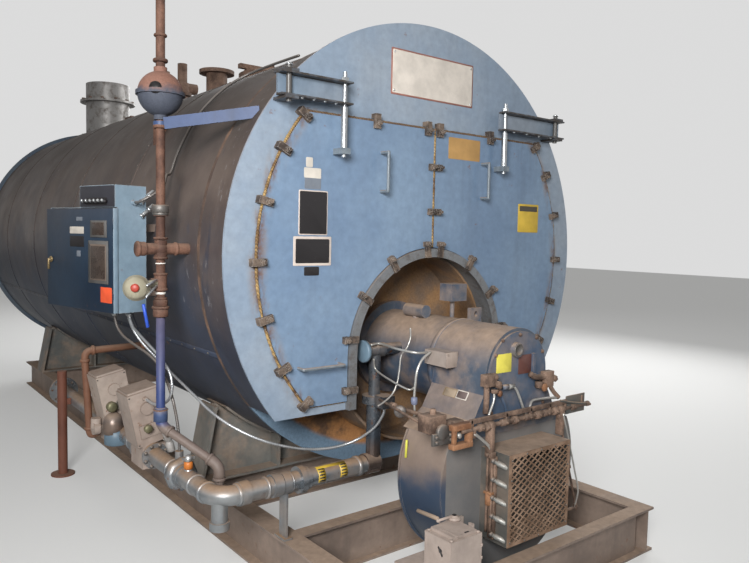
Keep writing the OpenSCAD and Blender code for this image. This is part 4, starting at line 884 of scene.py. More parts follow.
plates = [
    ("sign_rim", (-0.295, 0.288), (0.82, 1.05), 0.0, 0.003, sign_rim, "boiler"),
    ("sign_face", (-0.287, 0.28), (0.828, 1.042), -0.003, 0.0008, ivory, "boiler"),
    ("orange_label", (0.1, 0.344), (0.53, 0.645), DOOR_Y, 0.0008, orange_paper, "right"),
    ("yellow_label", (0.685, 0.871), (0.145, 0.313), DOOR_Y, 0.0015, yellow, "right"),
    ("yellow_label_band", (0.697, 0.859), (0.27, 0.301), DOOR_Y - 0.0015, 0.0005, dark_band, "right"),
    ("data_plate", (-0.837, -0.677), (0.106, 0.312), DOOR_Y, 0.0018, pale_rim, "left"),
    ("data_plate_face", (-0.832, -0.682), (0.111, 0.307), DOOR_Y - 0.0018, 0.0006, black_plate, "left"),
    ("lower_plate", (-0.863, -0.653), (-0.036, 0.1), DOOR_Y, 0.0018, pale_rim, "left"),
    ("lower_plate_face", (-0.851, -0.665), (-0.024, 0.088), DOOR_Y - 0.0018, 0.0006, black_plate, "left"),
    ("small_plate", (-0.803, -0.72), (-0.082, -0.041), DOOR_Y, 0.001, black_plate, "left"),
    ("worn_label", (-0.806, -0.716), (0.318, 0.37), DOOR_Y, 0.0004, worn_paper, "left"),
    ("torn_label", (-0.81, -0.716), (0.368, 0.415), DOOR_Y, 0.0006, paper, "left"),
    ("torn_scrap", (-0.8, -0.762), (0.417, 0.462), DOOR_Y, 0.0006, paper, "left")]
for name, x, z, y, thick, finish, where in plates:
    body = where if where == "boiler" else where + "_smokebox_door"
    add_mesh(name, *panel(x, (AXIS + z[0], AXIS + z[1]), y, thick), finish, body)
rivet = [(0.006, 0), (0.0055, 0.002), (0.003, 0.0034), (TIP, 0.0038)]
rivets = [turned(rivet, (x, -0.0038, AXIS + z), (0, -1, 0), 10) for z in (0.84, 1.03)
          for x in (-0.275, 0.268)]
add_parts("sign_rivets", rivets, zinc)
print(len(plates), "plates")

# %% [markdown]
# ## Bolts, nuts and screws
# A nut is a lathe with six sides, and a bolt head has a small washer under it. Each group is one mesh,
# placed along the circles and rows that the real holes follow.

# %% Fasteners by the row
def hex_bolt(place, axis, across=0.024, height=0.012, spin=0.0):
    """A washer, then a six-sided head with a chamfered top."""
    r = across / math.sqrt(3)
    head = turned([(r, 0.002), (r, height * 0.85), (r * 0.86, height), (TIP, height)], place, axis, 6, spin)
    washer = turned([(r * 1.3, -0.0005), (r * 1.3, 0.0022), (TIP, 0.0022)], place, axis, 16)
    return joined([head, washer])


def ring_of(count, radius, centre, axis):
    """Points spread evenly on a circle about axis."""
    a = np.arange(count) * 2 * np.pi / count
    first, second, _ = basis(axis)
    return centre + radius * (np.cos(a)[:, None] * first + np.sin(a)[:, None] * second)


print("bolts can be made")

# %% [markdown]
# The burner's cover, the davits, the rear plate and the flue are bolted. The davits' bolts turn with their
# arms.

# %% Place the bolts
COVER_Y = -0.632        # front face of the burner's cover
bolts = [hex_bolt((x, COVER_Y, AXIS + z), (0, -1, 0), 0.013, 0.008, x * 9)
         for x, z in ((-0.165, -0.42), (-0.12, -0.355), (0.0, -0.337), (0.12, -0.36), (0.168, -0.43),
                      (0.185, -0.58), (-0.185, -0.58), (0.185, -0.68), (-0.185, -0.68))]
add_parts("burner_bolts", bolts, iron_rust, slot="rusty_steel")

PIN_X = 0.93            # the davits' hinges, left and right of the middle
pin_head = [(0.0165, 0), (0.0165, 0.006), (0.0125, 0.01), (TIP, 0.0108)]
pins = [turned(pin_head, (side * PIN_X, -0.075, AXIS + 0.8425), (0, 0, 1), 20) for side in (-1, 1)]
add_parts("davit_pin_heads", pins, bright_steel, slot="worn_steel")
for side, name, inner in ((-1, "left", 0.63), (1, "right", 0.48)):
    arm_bolts = [hex_bolt((side * x, -0.09, AXIS + 0.7095), (0, 0, -1), 0.012, 0.006, x)
                 for x in np.linspace(inner + 0.06, PIN_X - 0.06, 4)]
    add_parts(name + "_davit_bolts", arm_bolts, bright_steel, body=name + "_davit", slot="worn_steel")

rear_ring = ring_of(36, 1.178, np.array([0, 5.712, AXIS]), (0, 1, 0))
rear_bolts = [hex_bolt(p, (0, 1, 0), 0.026, 0.016, k) for k, p in enumerate(rear_ring)]
add_parts("rear_bolts", rear_bolts, iron_rust, slot="rusty_steel")
flue_ring = ring_of(12, 0.265, np.array([0, 5.4, AXIS + 1.539]), (0, 0, 1))
studs = [hex_bolt(p, (0, 0, 1), 0.03, 0.018, k) for k, p in enumerate(flue_ring)]
add_parts("flue_bolts", studs, iron_rust, slot="rusty_steel")
print(len(bolts), "bolts on the cover,", len(rear_bolts), "on the rear plate and", len(studs), "on the flue")

# %% [markdown]
# ## The jacket's sheets
# The lagging is covered by sheets that lap one over the next. Each lap is a strip a millimetre or two
# thick, an arc carried across its width, with a row of screws along it.

# %% Laps and their screws
def arc_strip(radius, y0, y1, start, end, thick=0.0022, steps=160):
    """A strip on the jacket: four corners of its section, carried round from start to end (degrees)."""
    a = np.radians(np.linspace(start, end, steps))
    section = [(radius - 0.001, y0), (radius + thick, y0 + 0.001), (radius + thick, y1 - 0.001),
               (radius - 0.001, y1)]
    rings = np.stack([np.stack([r * np.cos(a), np.full(steps, y), AXIS + r * np.sin(a)], -1)
                      for r, y in section], 1)
    return rings.reshape(-1, 3), grid_faces(steps, 4)


LAPS = (1.42, 2.52, 3.62, 4.72)         # where a sheet ends, along Y
laps = [arc_strip(SHELL_R, y, y + 0.045, -52, 232) for y in LAPS]
laps += [arc_strip(SHELL_R, 0.34, 5.69, a, a + 1.6, steps=4) for a in (204, -25.6)]
add_parts("jacket_laps", laps, jacket_paint, slot="jacket_paint")
spots = [(y + 0.022, a) for y in LAPS for a in np.arange(-48, 230, 7.0)]
spots += [(y, a) for y in np.arange(0.45, 5.6, 0.16) for a in (204.8, -24.8)]
screws = []
for y, angle in spots:
    a = math.radians(angle)
    way = np.array([math.cos(a), 0, math.sin(a)])
    screws.append(turned([(0.0065, 0), (0.0055, 0.003), (TIP, 0.0042)],
                         np.array([0, y, AXIS]) + way * (SHELL_R + 0.002), way, 8))
add_parts("jacket_screws", screws, dark_steel, slot="worn_steel")
print(len(laps), "laps and", len(screws), "screws")

# %% [markdown]
# ## Tube ends behind the doors
# The CAD model states twelve of the tube ends. The rest of the bank is added here, so that an opened door
# shows rows of rolled ends: each is a short ring with a dark bore, a near-black disc a few millimetres in
# that is soot and painted shade for the tube's depth.

# %% Roll the tube ends in
# Near-black; on the tube bores it is soot and also painted shade for the tube's depth.
soot = label("soot", (0.012, 0.011, 0.011), 11.0, scuff=0.1, rough=0.95)
TUBE_STEP, SHEET_Y = 0.098, 0.2995      # pitch along a row, and the tube sheet's face
ARCH_R, ARCH_Z = 0.6, -0.494            # the furnace's opening, which no tube may cross
FOOT_Z = -0.69                          # the sheet's straight foot
stated = [(0.3 * i, 0.25 + 0.18 * r) for r in range(3) for i in (-1.5, -0.5, 0.5, 1.5)]


def on_sheet(profile, spots):
    """The same lathe at many places of the tube sheet."""
    return [turned(profile, (x, SHEET_Y, AXIS + z), (0, -1, 0), 18) for x, z in spots]


rows = []
for j in range(-7, 11):
    for i in range(-11, 12):
        x, z = (i + 0.5 * (j % 2)) * TUBE_STEP, j * TUBE_STEP * 0.9
        clear_arch = math.hypot(x, z - ARCH_Z) > ARCH_R and (abs(x) > ARCH_R or z > ARCH_Z)
        clear_stated = all(math.hypot(x - a, z - b) > 0.068 for a, b in stated)
        if math.hypot(x, z) < 1.06 and clear_arch and clear_stated and z > FOOT_Z:
            rows.append((x, z))
tube_end = [(0.035, 0.0), (0.0345, 0.006), (0.031, 0.007), (0.03, 0.0025)]
tube_collar = [(0.036, 0.0), (0.0355, 0.005), (0.032, 0.006), (0.0313, 0.0)]
add_parts("tube_ends", on_sheet(tube_end, rows), sheet_rust, slot="rusty_steel")
# The bores are closed by near-black discs: soot, and painted shade for the depth of each tube.
add_parts("tube_bores", on_sheet([(0.0305, 0.0), (0.03, 0.0032), (TIP, 0.0032)], rows), soot)
add_parts("stated_tube_collars", on_sheet(tube_collar, stated), sheet_rust, slot="rusty_steel")
print(len(rows), "tube ends")

# %% [markdown]
# ## On the cabinet
# The cabinet stands at an angle, so its pieces are placed in its own coordinates: in from the door's face,
# along it, and up from its foot. One function turns them by 14 degrees and moves them to the hinge.

# %% The door's pan
CAB_TURN, CAB_AT = math.radians(14), np.array([-1.42, 0.755, AXIS - 0.306])


def on_cabinet(part):
    """The cabinet's own coordinates to the boiler's."""
    points, faces = part
    c, s = math.cos(CAB_TURN), math.sin(CAB_TURN)
    x, y = points[:, 0] * c - points[:, 1] * s, points[:, 0] * s + points[:, 1] * c
    return np.stack([x, y, points[:, 2]], -1) + CAB_AT, faces


def facing_out(along, height, y, thick, corner=0.004):
    """A rounded plate on the cabinet whose face looks the way the door does."""
    points, faces = panel(along, height, y, thick, corner)
    return on_cabinet((points[:, [1, 0, 2]], faces))


DOOR_W, DOOR_H, DOOR_DEEP = 0.65, 0.524, 0.0218
walls = [((0, 0, 0), (0.004, DOOR_W, DOOR_H)), ((0.002, 0, 0), (DOOR_DEEP, 0.004, DOOR_H)),
         ((0.002, DOOR_W - 0.004, 0), (DOOR_DEEP, DOOR_W, DOOR_H)),
         ((0.002, 0, 0), (DOOR_DEEP, DOOR_W, 0.004)),
         ((0.002, 0, DOOR_H - 0.004), (DOOR_DEEP, DOOR_W, DOOR_H))]
door_pan = [rounded_box(low, high, 0.0015) for low, high in walls]
door_pan += [turned(rim(0, 0.05, 0.005, 0.006, 0.001), (0, 0, z), (0, 0, 1), 14) for z in (0.07, 0.419)]
piece = add_mesh("cabinet_door_pan", *on_cabinet(joined(door_pan)), cabinet_navy, "cabinet_front",
                 slot="cabinet_face")
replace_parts(piece, "cabinet_door")
print("door pan bent")

# %% [markdown]
# Two windows in raised rims, scraps of labels and an orange tag sit on the door. They are plates as on the
# front, turned to face the way the door does.

# %% Windows and labels of the cabinet
switch_navy = label("switch box navy", (0.03, 0.03, 0.038), 30.0, scuff=0.3, under=(0.07, 0.06, 0.06))
window_rim = label("window rim", (0.11, 0.105, 0.1), 12.0, scuff=0.5, rough=0.5, under=(0.3, 0.22, 0.17))
dim_edge = label("window frame", (0.16, 0.12, 0.095), 29.0, scuff=0.4, rough=0.5)
glass = worn_metal("dim glass", (0.05, 0.035, 0.028), seed=15.0, dusty=0.3, rough=0.25, metal=0.0, stain=0.4)
bright_orange = label("orange tag", (0.8, 0.1, 0.03), 13.0, scuff=0.1, rough=0.7)
brass = worn_metal("dull brass", (0.3, 0.22, 0.11), seed=16.0, dusty=0.2, rough=0.4, metal=0.7)
on_door = [
    ("window_rim_low", (0.044, 0.223), (0.144, 0.361), 0.0, 0.006, window_rim),
    ("window_frame_low", (0.056, 0.202), (0.16, 0.343), 0.006, 0.002, dim_edge),
    ("window_low", (0.063, 0.195), (0.168, 0.335), 0.008, 0.0012, glass),
    ("window_rim_top", (0.057, 0.205), (0.377, 0.463), 0.0, 0.005, window_rim),
    ("window_top", (0.075, 0.185), (0.389, 0.453), 0.005, 0.0012, glass),
    ("door_label", (0.272, 0.41), (0.393, 0.43), 0.0, 0.001, paper),
    ("door_label_low", (0.272, 0.41), (0.325, 0.381), 0.0, 0.001, black_plate),
    ("door_scrap", (0.305, 0.345), (0.275, 0.305), 0.0, 0.0006, worn_paper),
    ("door_scrap_top", (0.285, 0.345), (0.46, 0.48), 0.0, 0.0006, worn_paper),
    ("door_tag", (0.016, 0.118), (0.05, 0.128), 0.0, 0.001, bright_orange)]
for name, along, height, proud, thick, finish in on_door:
    add_mesh(name, *facing_out(along, height, -proud, thick), finish, "cabinet_front")
print(len(on_door), "pieces on the cabinet's door")

# %% [markdown]
# A lock with its key, six toggle switches in a row over the door, and the cabinet's own edge come next. The
# knobs are lathes at one spacing, and each has a short bright tip that leans out.

# %% Lock and switches
lock = [turned([(0.017, 0), (0.017, 0.004), (0.013, 0.007), (TIP, 0.008)], (0, 0.607, 0.25), (-1, 0, 0), 28),
        rounded_box((-0.022, 0.598, 0.196), (-0.012, 0.612, 0.256), 0.004),
        turned(stub(0.007, 0.016), (0, 0.605, 0.248), (-1, 0, 0), 14)]
add_mesh("cabinet_lock", *on_cabinet(joined(lock)), brass, "cabinet_front")

switches_y = [0.0745 + 0.037 * k for k in range(6)]
knob = [(0.0105, 0), (0.0105, 0.012), (0.008, 0.015), (TIP, 0.015)]
knobs = [on_cabinet(turned(knob, (0.008, y, 0.558), (-1, 0, 0), 14)) for y in switches_y]
add_parts("switch_knobs", knobs, black_plate)
tips = [on_cabinet(rod((-0.007, y, 0.556), (-0.021, y, 0.566), 0.007, 10)) for y in switches_y]
add_parts("switch_tips", tips, bright_steel)
switch_face = facing_out((0.003, 0.322), (0.531, 0.637), 0.0098, 0.001)
add_mesh("switch_face", *switch_face, switch_navy, slot="cabinet_face")
add_mesh("switch_plate", *facing_out((0.07, 0.265), (0.54, 0.578), 0.0088, 0.001, 0.003), black_plate)
edge = rounded_box((-0.003, -0.007, 0.002), (0.021, -0.0005, DOOR_H), 0.0015)
add_mesh("cabinet_edge", *on_cabinet(joined([edge])), cabinet_blue, slot="cabinet_side")
print(len(switches_y), "switches")

# %% [markdown]
# Conduits leave the cabinet's foot through connectors, and two short pipes join its side to the column.

# %% Glands and side pipes
def gland(place, axis):
    """A conduit's connector: a locknut on the wall, a collar and a six-sided clamping nut."""
    return joined([turned([(0.02, 0), (0.02, 0.005), (0.0165, 0.006), (TIP, 0.006)], place, axis, 8),
                   turned(stub(0.0145, 0.024), place, axis, 20),
                   turned([(0.018, 0.012), (0.018, 0.026), (0.013, 0.034), (TIP, 0.034)], place, axis, 6)])


gland_spots = ((0.1175, 0.182), (0.1467, 0.0922), (0.1685, 0.1383))
add_parts("cabinet_glands", [on_cabinet(gland((x, y, 0.0), (0, 0, -1))) for x, y in gland_spots], zinc)
stubs = []
for low in (0.251, 0.18):
    start, end = np.array([-1.271, 0.792, AXIS + low]), np.array([-1.197, 0.81, AXIS + low + 0.061])
    way = end - start
    stubs += [rod(start, end, 0.0125), rod(start + way * 0.55, start + way * 0.68, 0.0155, 8),
              rod(start - way * 0.02, start + way * 0.12, 0.0155, 8)]
add_parts("side_stubs", stubs, bright_steel, slot="worn_steel")
print("cabinet dressed")

# %% [markdown]
# ## On the water column
# Threaded iron has a rim at each mouth, unions have flat sides, and a ring of white tape shows under one
# nut. All of them are lathes on the column's own axis, or on the level pipe's.

# %% Unions and rims of the column
COLUMN = (-1.3, 0.45)


def collar(z0, z1, radius, sides=24, bevel=0.003):
    """A ring round the column's upright pipe, between two heights over the axis."""
    return turned(rim(z0, z1, radius - bevel, radius, bevel), (*COLUMN, AXIS), (0, 0, 1), sides)


def cuff(x0, x1, radius, bevel=0.003):
    """A rim round the column's level pipe, which runs along X."""
    return turned(rim(x0, x1, radius - bevel, radius, bevel), (0, COLUMN[1], AXIS + 0.027), (1, 0, 0), 24)


low_rims = ((0.07, 0.082), (-0.022, -0.01), (-0.098, -0.086), (-0.17, -0.158))
rims = [collar(z0, z1, 0.033) for z0, z1 in low_rims]
rims += [cuff(-1.415, -1.4, 0.036), cuff(-1.385, -1.37, 0.032), cuff(-1.235, -1.22, 0.032)]
rims += [collar(1.0, 1.012, 0.03), collar(0.885, 0.9, 0.034), collar(0.584, 0.6, 0.034),
         collar(-0.256, -0.243, 0.041), collar(-0.293, -0.256, 0.037, 8)]
add_parts("column_rims", rims, column_rust, slot="rusty_steel")
union = [collar(0.195, 0.232, 0.042, 8), collar(0.182, 0.198, 0.036)]
foot_union = [collar(-0.243, -0.212, 0.036, 6), collar(-0.212, -0.2, 0.03)]
add_parts("column_union", union, dark_steel, slot="worn_steel")
add_parts("column_foot_union", foot_union, column_rust, slot="rusty_steel")
tape = label("white tape", (0.75, 0.72, 0.66), 14.0, scuff=0.2, rough=0.8)
taped = ((-0.186, -0.176), (-0.044, -0.038))
add_parts("thread_tape", [collar(z0, z1, 0.0238, 24, 0.001) for z0, z1 in taped], tape)
print("column dressed")

# %% [markdown]
# The drain drops from the column, slants forward and drops again beside the gas line. Its two elbows are
# wider sleeves over the bends, with a rim at each mouth, and its unions are eight-sided.

# %% Bend the drain
DRAIN = (-1.12, 0.19)           # the drain's lower drop
FOOT, ELBOW = np.array([*COLUMN, AXIS - 0.815]), np.array([*DRAIN, AXIS - 0.975])
slant = (ELBOW - FOOT) / np.linalg.norm(ELBOW - FOOT)
drain = [swept([(*COLUMN, AXIS - 0.29), FOOT, ELBOW, (*DRAIN, 0.38)], 0.021, 0.045, 20),
         swept([(*COLUMN, AXIS - 0.77), FOOT, FOOT + slant * 0.06], 0.0265),
         swept([ELBOW - slant * 0.06, ELBOW, (*DRAIN, AXIS - 1.035)], 0.0265),
         rod(FOOT + slant * 0.05, FOOT + slant * 0.064, 0.0305),
         rod(ELBOW - slant * 0.064, ELBOW - slant * 0.05, 0.0305),
         rod((*DRAIN, AXIS - 1.03), (*DRAIN, AXIS - 1.044), 0.0305),
         rod((*DRAIN, 0.4), (*DRAIN, 0.382), 0.026)]
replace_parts(add_parts("drain_pipe", drain, drain_blue), "column_drain")
add_parts("drain_union", [collar(-0.794, -0.74, 0.035, 8), collar(-0.738, -0.728, 0.029)], bar_blue)
add_mesh("drain_rim", *collar(-0.741, -0.735, 0.0355), column_rust, slot="rusty_steel")
print("drain bent")

# %% [markdown]
# The level switch is a dome: a quarter of an ellipse turned round the way it faces, with a ring on its rim
# and a red button in its middle, and a blue lever hangs from its cock. A thin seam and a round tag mark the
# float chamber over it.

# %% The switch's dome, fork and lever
dome_green = label("dome green", (0.36, 0.33, 0.24), 15.0, scuff=0.4, rough=0.4, under=(0.5, 0.46, 0.38))
red_button = label("red button", (0.4, 0.05, 0.03), 16.0, scuff=0.3, under=(0.6, 0.5, 0.42))
lever_blue = label("lever blue", (0.03, 0.09, 0.5), 17.0, scuff=0.15)
AT_SWITCH = np.array([-1.43, 0.41, AXIS - 0.15])
facing = np.array([-0.42, -0.9, 0.08])
dome = [(0.051, -0.03), (0.058, -0.024), (0.06, -0.014), (0.058, -0.006), (0.053, 0.0)]
dome += [(0.053 * math.cos(t), 0.042 * math.sin(t)) for t in np.linspace(0.1, 1.3, 10)]
switch = [turned(dome, AT_SWITCH, facing, 40),
          rod(AT_SWITCH + [0.03, 0.01, 0.008], (-1.31, 0.45, AXIS - 0.128), 0.017)]
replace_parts(add_parts("switch_dome", switch, dome_green, slot="worn_steel"), "level_switch")
ring = turned([(0.05, -0.045), (0.06, -0.042), (0.06, -0.026), (0.05, -0.024)], AT_SWITCH, facing, 40)
add_mesh("switch_ring", *ring, label("switch ring", (0.62, 0.62, 0.6), 33.0, scuff=0.4))
button = [(0.019, 0.038), (0.019, 0.048), (0.012, 0.052), (TIP, 0.0525)]
add_mesh("switch_button", *turned(button, AT_SWITCH, facing, 24), red_button)
upper = [AT_SWITCH + [0.035, -0.04, 0.012], [-1.33, 0.427, AXIS - 0.118], [-1.31, 0.44, AXIS - 0.118]]
lower = [AT_SWITCH + [0.03, -0.045, -0.04], [-1.335, 0.425, AXIS - 0.15], [-1.31, 0.44, AXIS - 0.14]]
add_parts("switch_forks", [tube(upper, 0.0065), tube(lower, 0.0065)], bright_steel)
add_mesh("switch_lever", *rod((-1.4, 0.4, AXIS - 0.224), (-1.379, 0.4, AXIS - 0.333), 0.008, 8), lever_blue)
CHAMBER = np.array([*COLUMN, AXIS + 0.742])
seam = turned(rim(-0.004, 0.004, 0.104, 0.107, 0.002), CHAMBER, (0, 0, 1), 40)
add_mesh("chamber_seam", *seam, column_rust)
way = np.array([-0.55, -0.83, 0.1]) / np.linalg.norm([-0.55, -0.83, 0.1])
add_mesh("chamber_tag", *turned(stub(0.028, 0.0015), CHAMBER + way * 0.1015, way, 24), black_plate)
print("level switch and chamber dressed")

# %% [markdown]
# ## On the gas line
# The elbows and unions of the gas line have cast rims, in two rows: those of the run across the front, and
# those of the run to the rear. The bleed loop is bent again here with sleeves over its bends.

# %% Rims of the fittings and the bleed loop
GAS_X, GAS_Z = -1.225, AXIS - 1.05      # the line's axis
PIPE_R, PIPE_RIM = 0.0445, 0.0505       # a 3 inch pipe, and the rim of its fittings
across, along = (0, 0, GAS_Z), (GAS_X, 0, GAS_Z)
gas_rims = [turned(rim(x0, x1, PIPE_R, PIPE_RIM, 0.004), across, (1, 0, 0), 36)
            for x0, x1 in ((-1.135, -1.112), (-0.99, -0.975), (-0.862, -0.85), (-0.475, -0.45))]
gas_rims += [turned(rim(y0, y1, PIPE_R, PIPE_RIM, 0.004), along, (0, 1, 0), 36)
             for y0, y1 in ((0.09, 0.112), (0.205, 0.22), (0.47, 0.485), (1.02, 1.035), (1.56, 1.575))]
add_parts("gas_rims", gas_rims, pipe_grey, slot="grey_paint")
union = turned(rim(0.362, 0.412, 0.058, 0.079, 0.01), along, (0, 1, 0), 8)
add_mesh("gas_union", *union, pipe_grey, slot="grey_paint")

LOOP_Y = 1.46                           # the bleed loop lies in one plane across the line
corners = [(-1.0, -0.592), (-1.366, -0.6), (-1.339, -1.118), (-1.24, -1.06)]
sleeves = [((-1.04, -0.593), (-1.0, -0.592), 0.031), ((-1.31, -0.5985), (-1.326, -0.599), 0.0285),
           ((-1.364, -0.648), (-1.363, -0.664), 0.0285), ((-1.3415, -1.07), (-1.342, -1.054), 0.0285),
           ((-1.29, -1.0895), (-1.278, -1.0825), 0.0285)]
loop = [swept([(x, LOOP_Y, AXIS + z) for x, z in corners], 0.021, 0.045, 20)]
loop += [rod((a[0], LOOP_Y, AXIS + a[1]), (b[0], LOOP_Y, AXIS + b[1]), radius) for a, b, radius in sleeves]
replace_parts(add_parts("bleed_pipe", loop, oxide_red, slot="oxide_paint"), "bleed_loop")
print(len(gas_rims), "rims on the gas line")

# %% [markdown]
# The band is paper wrapped round the pipe: a patch of a cylinder half a millimetre over the metal, with
# darker bars on it. The small cock beside it is three lathes on one axis.

# %% Band and cock
def wrapped(x0, x1, low, high, radius, steps=12):
    """A patch on the gas run, from x0 to x1, between two angles over the level in front (degrees)."""
    t = np.radians(np.linspace(low, high, steps))
    section = [(x0, radius), (x0, radius + 0.0006), (x1, radius + 0.0006), (x1, radius)]
    rings = [[(x, -r * math.cos(a), GAS_Z + r * math.sin(a)) for x, r in section] for a in t]
    return np.array(rings).reshape(-1, 3), grid_faces(steps, 4)


band = [wrapped(-0.72, -0.55, 58, 82, PIPE_R), wrapped(-0.72, -0.678, -28, 58, PIPE_R),
        wrapped(-0.592, -0.55, -28, 58, PIPE_R)]
add_parts("pipe_band", band, yellow)
bars = [wrapped(x, x + 0.03, a, a + 9, PIPE_R + 0.0006, 4)
        for x in (-0.714, -0.586) for a in range(-22, 56, 18)]
add_parts("pipe_band_bars", bars, dark_band)

orange_cock = label("orange cock", (0.55, 0.17, 0.03), 18.0, scuff=0.4, under=(0.35, 0.25, 0.2))
COCK, UPWARD = (GAS_X, 0.3, GAS_Z), (0, 0, 1)
add_mesh("cock_body", *turned(rim(0.05, 0.088, 0.016, 0.022, 0.006), COCK, UPWARD, 8), orange_cock)
cap = [(0.017, 0.086), (0.019, 0.092), (0.019, 0.106), (0.012, 0.116), (TIP, 0.117)]
caps = [turned([(0.019, 0.036), (0.019, 0.048), (TIP, 0.052)], COCK, UPWARD, 6),
        turned(cap, COCK, UPWARD, 20)]
add_parts("cock_cap", caps, zinc)
print("band and cock ready")

# %% [markdown]
# Each gas valve has a leaning head with a screwed cover and a green brass knob. A dial, a small grey
# cylinder and a dome stand beside them. The valves' flanges are bolted, eight to a circle, each bolt turned
# a little differently.

# %% The valves' small pieces
def on_head(part, y):
    """A valve head's coordinates to the boiler's: it leans 12 degrees away from the shell."""
    points, faces = part
    c, s = math.cos(math.radians(12)), math.sin(math.radians(12))
    x, z = points[:, 0] * c - points[:, 2] * s, points[:, 0] * s + points[:, 2] * c
    return np.stack([GAS_X + x, y + points[:, 1], GAS_Z + 0.066 + z], -1), faces


dial = [(0.03, 0.0), (0.032, 0.005), (0.031, 0.011), (0.027, 0.012), (0.026, 0.0095), (TIP, 0.0095)]
dial_glass = worn_metal("dial glass", (0.3, 0.28, 0.24), seed=17.0, dusty=0.3, rough=0.35, metal=0.2)
add_mesh("valve_dial", *turned(dial, (-1.235, 1.225, AXIS - 0.88), (0, -1, 0), 28), dial_glass)
verdigris = worn_metal("brass green", (0.2, 0.19, 0.11), seed=19.0, dusty=0.2, rough=0.45, metal=0.6)
large = [(0.024, 0), (0.0295, 0.004), (0.0295, 0.03), (0.02, 0.036), (TIP, 0.037)]
small = [(0.018, 0), (0.0215, 0.004), (0.0215, 0.02), (0.015, 0.025), (TIP, 0.026)]
knobs = [turned(large, (-1.29, 1.225, AXIS - 0.888), (0, -1, 0), 18),
         turned(small, (-1.268, 0.712, AXIS - 0.897), (0, -1, 0), 18)]
add_parts("valve_knobs", knobs, verdigris, slot="worn_steel")
bottle = [(0.012, 0.0), (0.021, 0.004), (0.021, 0.05), (0.016, 0.054), (0.016, 0.062), (0.021, 0.066),
          (0.021, 0.13), (0.014, 0.142), (TIP, 0.143)]
bottle_grey = label("bottle grey", (0.42, 0.4, 0.38), 34.0, scuff=0.4, under=(0.2, 0.15, 0.12))
add_mesh("valve_bottle", *turned(bottle, (-1.145, 0.7, AXIS - 1.035), (-0.039, 0, 0.142), 24), bottle_grey)
dome = [(0.052, 0.0), (0.059, 0.006), (0.059, 0.05)]
dome += [(0.059 * math.cos(t), 0.05 + 0.072 * math.sin(t)) for t in np.linspace(0.15, 1.45, 9)]
add_mesh("rear_valve_dome", *turned(dome, (-1.278, 1.22, AXIS - 1.045), (0, 0, 1), 32), riser_grey,
         slot="grey_paint")
light_blue = label("light blue ring", (0.14, 0.21, 0.27), 19.0, scuff=0.6)
tee_ring = [(0.047, 0), (0.0565, 0.003), (0.0565, 0.018), (0.05, 0.022)]
rings = [turned(rim(0, 0.086, 0.056, 0.066, 0.006), (-1.262, 1.22, AXIS - 1.108), (0, 0, 1), 32),
         turned(tee_ring, (-0.4225, 0, AXIS - 0.47), (-1, 0, 0), 32)]
add_parts("valve_rings", rings, light_blue)
screws = [on_head(turned([(0.005, 0), (0.004, 0.003), (TIP, 0.0035)], (x, 0, z), (0, -1, 0), 8), y)
          for y in (0.73, 1.25) for x in (-0.076, 0.076) for z in (0.012, 0.268)]
add_parts("valve_screws", screws, dark_steel)
flange_bolts = []
for y0, way in ((0.73, -1), (0.9, 1), (1.25, -1), (1.42, 1)):
    for k in range(8):
        a = math.radians(45 * k + 22.5)
        spot = (GAS_X + 0.056 * math.cos(a), y0 + way * 0.0185, GAS_Z + 0.056 * math.sin(a))
        flange_bolts.append(hex_bolt(spot, (0, way, 0), 0.014, 0.009, k))
add_parts("gas_flange_bolts", flange_bolts, dark_steel)
print("gas line dressed")

# %% [markdown]
# ## On the burner's head
# The head is crowded with small iron. Each piece is a lathe, a tube through a few points or a box with
# rounded edges, measured from the photograph in the plane where it sits. From here on, heights are given
# over the shell's axis, because the burner is built round a line parallel to it.

# %% Helpers for small pieces
def at(x, y, z):
    """A point with its height given over the shell's axis."""
    return x, y, AXIS + z


def bar(start, end, radius, sides=16):
    """A straight round bar."""
    return rod(at(*start), at(*end), radius, sides)


def pipe_between(places, radius, count=24, sides=12):
    """A bent tube: a smooth line through a few places."""
    return tube(curve_through(np.array([at(*p) for p in places]), count), radius, sides)


def nut(place, axis, across=0.03, height=0.02, sides=6):
    """Six flat sides between two small chamfers."""
    r = across / math.sqrt(3)
    profile = rim(0, height, r * 0.9, r, 0.002) + [(TIP, height)]
    return turned(profile, at(*place), axis, sides)


def block_of(low, high, edge=0.003):
    """A box with rounded edges between two opposite corners."""
    return rounded_box(at(*low), at(*high), edge)


print("helpers ready")

# %% [markdown]
# Two clusters of pilot fittings stand left and right of the sight port: blocks, nuts and short bent pipes
# of rusty iron, with two orange plugs that face the viewer.

# %% Pilot fittings
head_iron = [block_of((-0.262, -0.672, -0.55), (-0.205, -0.632, -0.495)),
             nut((-0.205, -0.652, -0.512), (1, 0, 0), 0.034, 0.024),
             nut((-0.181, -0.652, -0.545), (1, 0, -0.25), 0.03, 0.03),
             pipe_between([(-0.235, -0.652, -0.5), (-0.2, -0.656, -0.53), (-0.155, -0.656, -0.565)], 0.012),
             nut((-0.19, -0.655, -0.585), (0, 0, 1), 0.032, 0.016),
             pipe_between([(-0.238, -0.65, -0.55), (-0.236, -0.65, -0.61), (-0.24, -0.65, -0.672)], 0.013),
             block_of((0.16, -0.668, -0.6), (0.222, -0.632, -0.525)),
             nut((0.128, -0.652, -0.6), (0, 0, 1), 0.036, 0.03),
             pipe_between([(0.06, -0.652, -0.527), (0.1, -0.654, -0.545), (0.17, -0.654, -0.55)], 0.014),
             nut((0.225, -0.652, -0.56), (1, 0, -0.4), 0.03, 0.03),
             pipe_between([(0.2, -0.655, -0.59), (0.235, -0.655, -0.63), (0.272, -0.66, -0.664)], 0.011)]
add_parts("head_fittings", head_iron, dog_rust, slot="rusty_steel")
rust_orange = rusty_metal("orange rust", (0.18, 0.075, 0.035), (0.34, 0.165, 0.08), dusty=0.15, seed=20.0,
                          bare=0.2)
